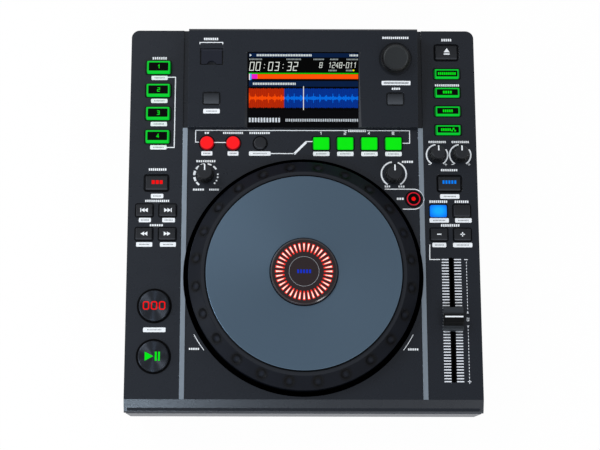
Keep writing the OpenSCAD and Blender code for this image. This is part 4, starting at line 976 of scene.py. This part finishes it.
skip_mark("track_prev_button", "left", True)
skip_mark("track_next_button", "right", True)
skip_mark("search_back_button", "left", False)
skip_mark("search_fwd_button", "right", False)
on_button("reverse_button", red_mark).word(0.5, 0.7, 9.5, 3.3, 2.4, 0.8).build()
on_button("jog_mode_button", blue_mark).word(0, 1.3, 11.8, 3.0, 1.3, 0.9).build()
on_button("eject_button", white_ink).arrow(0.5, 2.2, 5.2, 3.8, "up").bar(
    0.5, -1.3, 5.2, 1.2).build()
on_button("pitch_minus_button", white_ink).bar(0, 0, 3.6, 0.9).build()
on_button("pitch_plus_button", white_ink).bar(0, 0, 3.8, 0.9).bar(0, 0, 0.9, 3.8).build()
cue = on_button("cue_button", red_mark)
for x in (-6.8, 0, 6.8):
    cue.frame(x, 0, 5.4, 7.3, 1.0, 1.9)
cue.build()
on_button("play_button", green_mark).arrow(-3.5, 0, 7.2, 7.6, "right").bar(
    2.2, 0, 1.6, 7.6).bar(4.9, 0, 1.5, 7.6).build()
on_button("slip_button", black_window, name="face", top=0.02).dot(0, 0, 5.9, 40).build()
on_button("slip_button", crimson_mark, top=0.05).ring(0, 0, 5.35, 0.9).build()
on_button("slip_button", red_mark, name="dot", top=0.05).dot(0, 0, 1.8).build()

# ---------------------------------------------------------------- knobs and fader
for node in KNOBS:
    r = cap_size(node)[0] / 2
    on_button(node, white_ink, 0.35, "pointer", base=-0.02, top=0.3).bar(
        0, r / 2 + 0.5, 1.1, r - 1.5).build()
on_button("pitch_fader_cap", white_ink, name="line").bar(0, 1.25, 15.2, 1.15).build()

# ---------------------------------------------------------------- jog head
head = top_of("jog_display")
LEDS = 36
bars = sheet("head_lamps", head, led_red, "jog_display")
cores = sheet("head_lamp_cores", head, warm_white, "jog_display", top=0.05)
# Each lamp: inner and outer radius, and half its width at each.
for part, r0, r1, half0, half1 in ((bars, 16.6, 24.2, 0.62, 1.12),
                                   (cores, 18.0, 23.4, 0.2, 0.62)):
    for i in range(LEDS):
        a = 2 * math.pi * i / LEDS
        part.solid([(r * math.cos(a) - h * math.sin(a), r * math.sin(a) + h * math.cos(a))
                    for r, h in ((r0, half0), (r0, -half0), (r1, -half1), (r1, half1))])
    part.build()
sheet("head_circle", head, grey_ink, "jog_display").ring(0, 0, 12.5, 0.25).build()
sheet("head_mark", head, deep_blue_mark, "jog_display").word(
    0, 0, 11.5, 3.0, 1.3, 0.9).build()

# ---------------------------------------------------------------- display
SCREEN_X, SCREEN_W = 0.45, 94.8
SCREEN_LOW, SCREEN_HIGH = 15.2, 64.5
FILM = 0.05  # how far the picture stands off the glass
left, right = SCREEN_X - SCREEN_W / 2, SCREEN_X + SCREEN_W / 2


def on_screen(name, colour, top):
    """A sheet of the display's picture, in its own light."""
    return sheet(f"screen_{name}", glass, lit(f"screen_{name}", colour, 0.97),
                 "display_lens", top=top + FILM)


on_screen("back", (0.0, 0.0, 0.0), 0.02).bar(
    SCREEN_X, (SCREEN_LOW + SCREEN_HIGH) / 2, SCREEN_W, SCREEN_HIGH - SCREEN_LOW).build()
TITLE_V, INFO_V = 62.7, 38.0
on_screen("bands", (0.001, 0.011, 0.05), 0.04).bar(SCREEN_X, TITLE_V, SCREEN_W, 3.6).bar(
    SCREEN_X, INFO_V, SCREEN_W, 4.8).build()
text = on_screen("text", (0.72, 0.8, 0.8), 0.06)
text.arrow(left + 1.6, TITLE_V, 1.9, 2.2, "right")
text.word(left + 30.5, TITLE_V, 47.5, 1.8, 0.9, 0.5)
text.word(right - 3.9, TITLE_V, 7.2, 1.7, 0.8, 0.5)
text.word(left + 22, INFO_V, 37.0, 1.9, 0.9, 0.5)
text.build()
labels = on_screen("labels", (0.32, 0.36, 0.36), 0.06)
for x, v, w, l in ((5.8, 59.2, 11.0, 1.2), (38.8, 59.2, 12.5, 1.2), (60.5, 59.2, 9.0, 1.2),
                   (73.8, 59.2, 6.8, 1.2), (89.6, 59.2, 9.8, 1.2), (72.5, 49.6, 7.0, 1.3),
                   (87.0, 49.6, 5.5, 1.3)):
    labels.word(left + x, v, w, l, 0.7, 0.45)
labels.build()
LEAN = 0.3
figures = on_screen("figures", (0.78, 0.82, 0.76), 0.06)
for sign, x, v, w, l, stroke, gap in (
        ("00:03:32", 2.6, 53.1, 3.3, 7.0, 0.62, 2.1), ("8", 62.4, 54.2, 2.1, 4.3, 0.42, 0.9),
        ("1248", 70.4, 54.2, 2.1, 4.6, 0.42, 0.95), ("011", 85.5, 54.2, 2.1, 4.6, 0.42, 1.2)):
    figures.figure(sign, left + x, v, w, l, stroke, gap, LEAN)
figures.bar(left + 82.4, 54.2, 1.6, 0.5)
figures.build()
on_screen("yellow", (0.85, 0.8, 0.0), 0.06).dot(right - 4.1, 49.7, 0.8, 12).build()
# Plain bars: their colour, height on the glass, middle, width and depth.
WAVE_V = 25.6
for name, colour, top, x, v, w, l in (
        ("green_rule", (0.0, 0.52, 0.0), 0.04, SCREEN_X, 47.0, SCREEN_W, 1.0),
        ("track_bar", (1.0, 0.085, 0.0), 0.04, SCREEN_X, 44.25, SCREEN_W, 4.0),
        ("played_bar", (0.85, 0.01, 0.55), 0.05, left + 4.9, 44.3, 4.8, 4.0),
        ("cursor", (0.75, 0.8, 0.85), 0.05, left + 0.6, 43.9, 1.0, 5.4),
        ("cursor_blue", (0.0, 0.25, 0.95), 0.05, left + 1.75, 43.9, 1.3, 5.4),
        ("playhead", (0.8, 0.8, 0.75), 0.07, SCREEN_X, WAVE_V, 0.65, 20.6)):
    on_screen(name, colour, top).bar(x, v, w, l).build()

# The track's wave: even bars with a core that swells at every beat.
played = on_screen("wave_played", (0.52, 0.022, 0.0), 0.05)
played_core = on_screen("wave_played_core", (1.0, 0.075, 0.0), 0.055)
coming = on_screen("wave_coming", (0.0, 0.033, 0.3), 0.05)
coming_core = on_screen("wave_coming_core", (0.0, 0.15, 0.78), 0.055)
WAVES, PLAYED_TO, BEAT = 158, -16.1, 9.3
step = SCREEN_W / WAVES
for i in range(WAVES):
    x = left + (i + 0.5) * step
    tall = 16.6 + 0.5 * math.sin(i * 1.9) + 0.3 * math.sin(i * 0.7)
    near = abs((i / BEAT) % 1 - 0.5) * 2
    swell = 1.5 + 6.5 * near ** 7 + 0.9 * (1 + math.sin(i * 1.3) * math.cos(i * 0.37))
    wave, core = (played, played_core) if x < PLAYED_TO else (coming, coming_core)
    wave.bar(x, WAVE_V, step * (0.8 if i % 3 else 0.98), tall)
    core.bar(x, WAVE_V, step * 0.9, swell)
for part in (played, coming, played_core, coming_core):
    part.build()
glass_ink = sheet("glass_marks", glass, printed("glass_ink", (0.62, 0.66, 0.7)),
                  "display_lens", top=0.03 + FILM)
glass_ink.word(-33.4, 6.6, 27.0, 3.8, 1.5, 1.0).word(16.4, 6.5, 62.8, 2.4, 0.75, 0.8).build()

# ---------------------------------------------------------------- rear sockets
JACK_Z, BARREL_R, COLLAR_R = 30.0, 4.17, 4.95
barrel = steel("plated_barrel", (0.75, 0.58, 0.25), 0.22)
rear = box_mm("rear_panel")[1][1]


def on_rear(x):
    """A frame on the rear panel, level with the sockets."""
    return Matrix.Translation((x, rear, JACK_Z)) @ Matrix.Rotation(-math.pi / 2, 4, "X")


for i, (x, colour) in enumerate(((-18, (0.7, 0.7, 0.68)), (-38, (0.55, 0.02, 0.02)),
                                 (-64, (0.6, 0.25, 0.02)))):
    sheet(f"phono_sleeve_{i + 1}", on_rear(x), barrel, "rear_jacks",
          base=1.6, top=8.95).ring(0, 0, BARREL_R, 0.06, 48).build()
    sheet(f"phono_ring_{i + 1}", on_rear(x), printed(f"ring_ink_{i + 1}", colour),
          "rear_jacks", base=0.48, top=0.58).ring(0, 0, COLLAR_R, 1.2, 32).build()
marks = sheet("rear_marks", on_rear(0), white_ink, "rear_panel")
for x, w in ((-28, 16), (-64, 12), (-90, 9), (-114, 8), (84, 10), (112, 14)):
    marks.word(x, -12.5, w, 1.9)
marks.build()

# ---------------------------------------------------------------- stage
WHITE = (1, 1, 1)
COOL, DAYLIGHT, SKY = (0.66, 0.82, 1.0), (0.93, 0.97, 1.0), (0.8, 0.9, 1.0)
FLOOR_HALF, FLOOR_DROP = 6, 0.0005


def white_paper():
    """White paper that stays white to the camera but still takes the shadow."""
    s = Skin("white_paper", (0.9, 0.9, 0.9), 0.9, specular=0.1)
    s.shade(s.noise(200), 0.01)
    seen = s.light_path("Is Camera Ray")
    for way in ("Is Glossy Ray", "Is Transmission Ray"):
        seen = seen.math("MAXIMUM", s.light_path(way))
    s.blend(seen * 0.97, s.node("ShaderNodeEmission", {"Color": WHITE, "Strength": 1.0}))
    return s.material


floor_mesh = bpy.data.meshes.new("floor")
floor_mesh.from_pydata([(x * FLOOR_HALF, y * FLOOR_HALF, -FLOOR_DROP)
                        for x, y in ((-1, -1), (1, -1), (1, 1), (-1, 1))], [], [(0, 1, 2, 3)])
floor_mesh.materials.append(white_paper())
floor = bpy.data.objects.new("floor", floor_mesh)
bpy.context.scene.collection.objects.link(floor)


def room():
    """A white room: white to the camera, brighter on the left and with a dim ceiling."""
    world = bpy.data.worlds.new("room")
    bpy.context.scene.world = world
    world.use_nodes = True
    g = Graph(world.node_tree)
    x, _, z = g.parts(g.place("Generated"))
    level = x.ramp(-1.0, 1.0, 1.2, 0.65) * z.ramp(0.55, 0.97, 1.0, 0.25)
    strength = g.node("ShaderNodeMix", {
        MASK: g.light_path("Is Camera Ray"), FIRST: level, SECOND: 1.0})
    background = g.tree.nodes["Background"]
    g.feed(background.inputs["Strength"], strength)
    g.feed(background.inputs["Color"], WHITE)


def area_lamp(name, place, aim, size, power, colour=WHITE):
    lamp = bpy.data.lights.new(name, "AREA")
    lamp.shape, lamp.size, lamp.energy, lamp.color = "DISK", size, power, colour
    holder = bpy.data.objects.new(name, lamp)
    holder.location = place
    holder.rotation_euler = (Vector(aim) - Vector(place)).to_track_quat("-Z", "Y").to_euler()
    bpy.context.scene.collection.objects.link(holder)


room()
# Name, place and aim in metres, size across in metres, power in watts and colour.
area_lamp("window_left", (-1.2, 0.9, 1.5), (0, 0, 0.06), 0.8, 13, DAYLIGHT)
area_lamp("lamp_front_right", (1.0, -1.3, 1.4), (0, 0, 0.06), 0.5, 7)
area_lamp("lamp_front_left", (-0.36, -1.09, 1.34), (0, -0.16, 0.06), 0.25, 3.8, COOL)
area_lamp("lamp_low_left", (-1.45, -0.5, 0.42), (0, -0.055, 0.07), 0.6, 6, SKY)
area_lamp("lamp_front", (0.5, -1.09, 1.34), (0.1, -0.16, 0.06), 0.2, 0.1, COOL)

# ---------------------------------------------------------------- camera
CAMERA_X, CAMERA_BACK, CAMERA_UP = -31.18, -69.3, 1131.4
CAMERA_TILT, CAMERA_ROLL = 11.437, 0.13
camera = bpy.data.cameras.new("camera")
camera.sensor_width = 36
camera.lens = 80.82
camera.shift_x = 0.0554
camera.clip_start, camera.clip_end = 0.05, 20
eye = bpy.data.objects.new("camera", camera)
eye.location = (CAMERA_X * MM, (FRONT + CAMERA_BACK) * MM, (PLATE + CAMERA_UP) * MM)
eye.rotation_euler = (Matrix.Rotation(math.radians(CAMERA_TILT), 3, "X")
                      @ Matrix.Rotation(math.radians(CAMERA_ROLL), 3, "Z")).to_euler()
bpy.context.scene.collection.objects.link(eye)
bpy.context.scene.camera = eye
bpy.context.scene.view_settings.view_transform = "Standard"


def write_sizes():
    """Only imports json: no sizes are taken here."""
    import json


write_sizes()
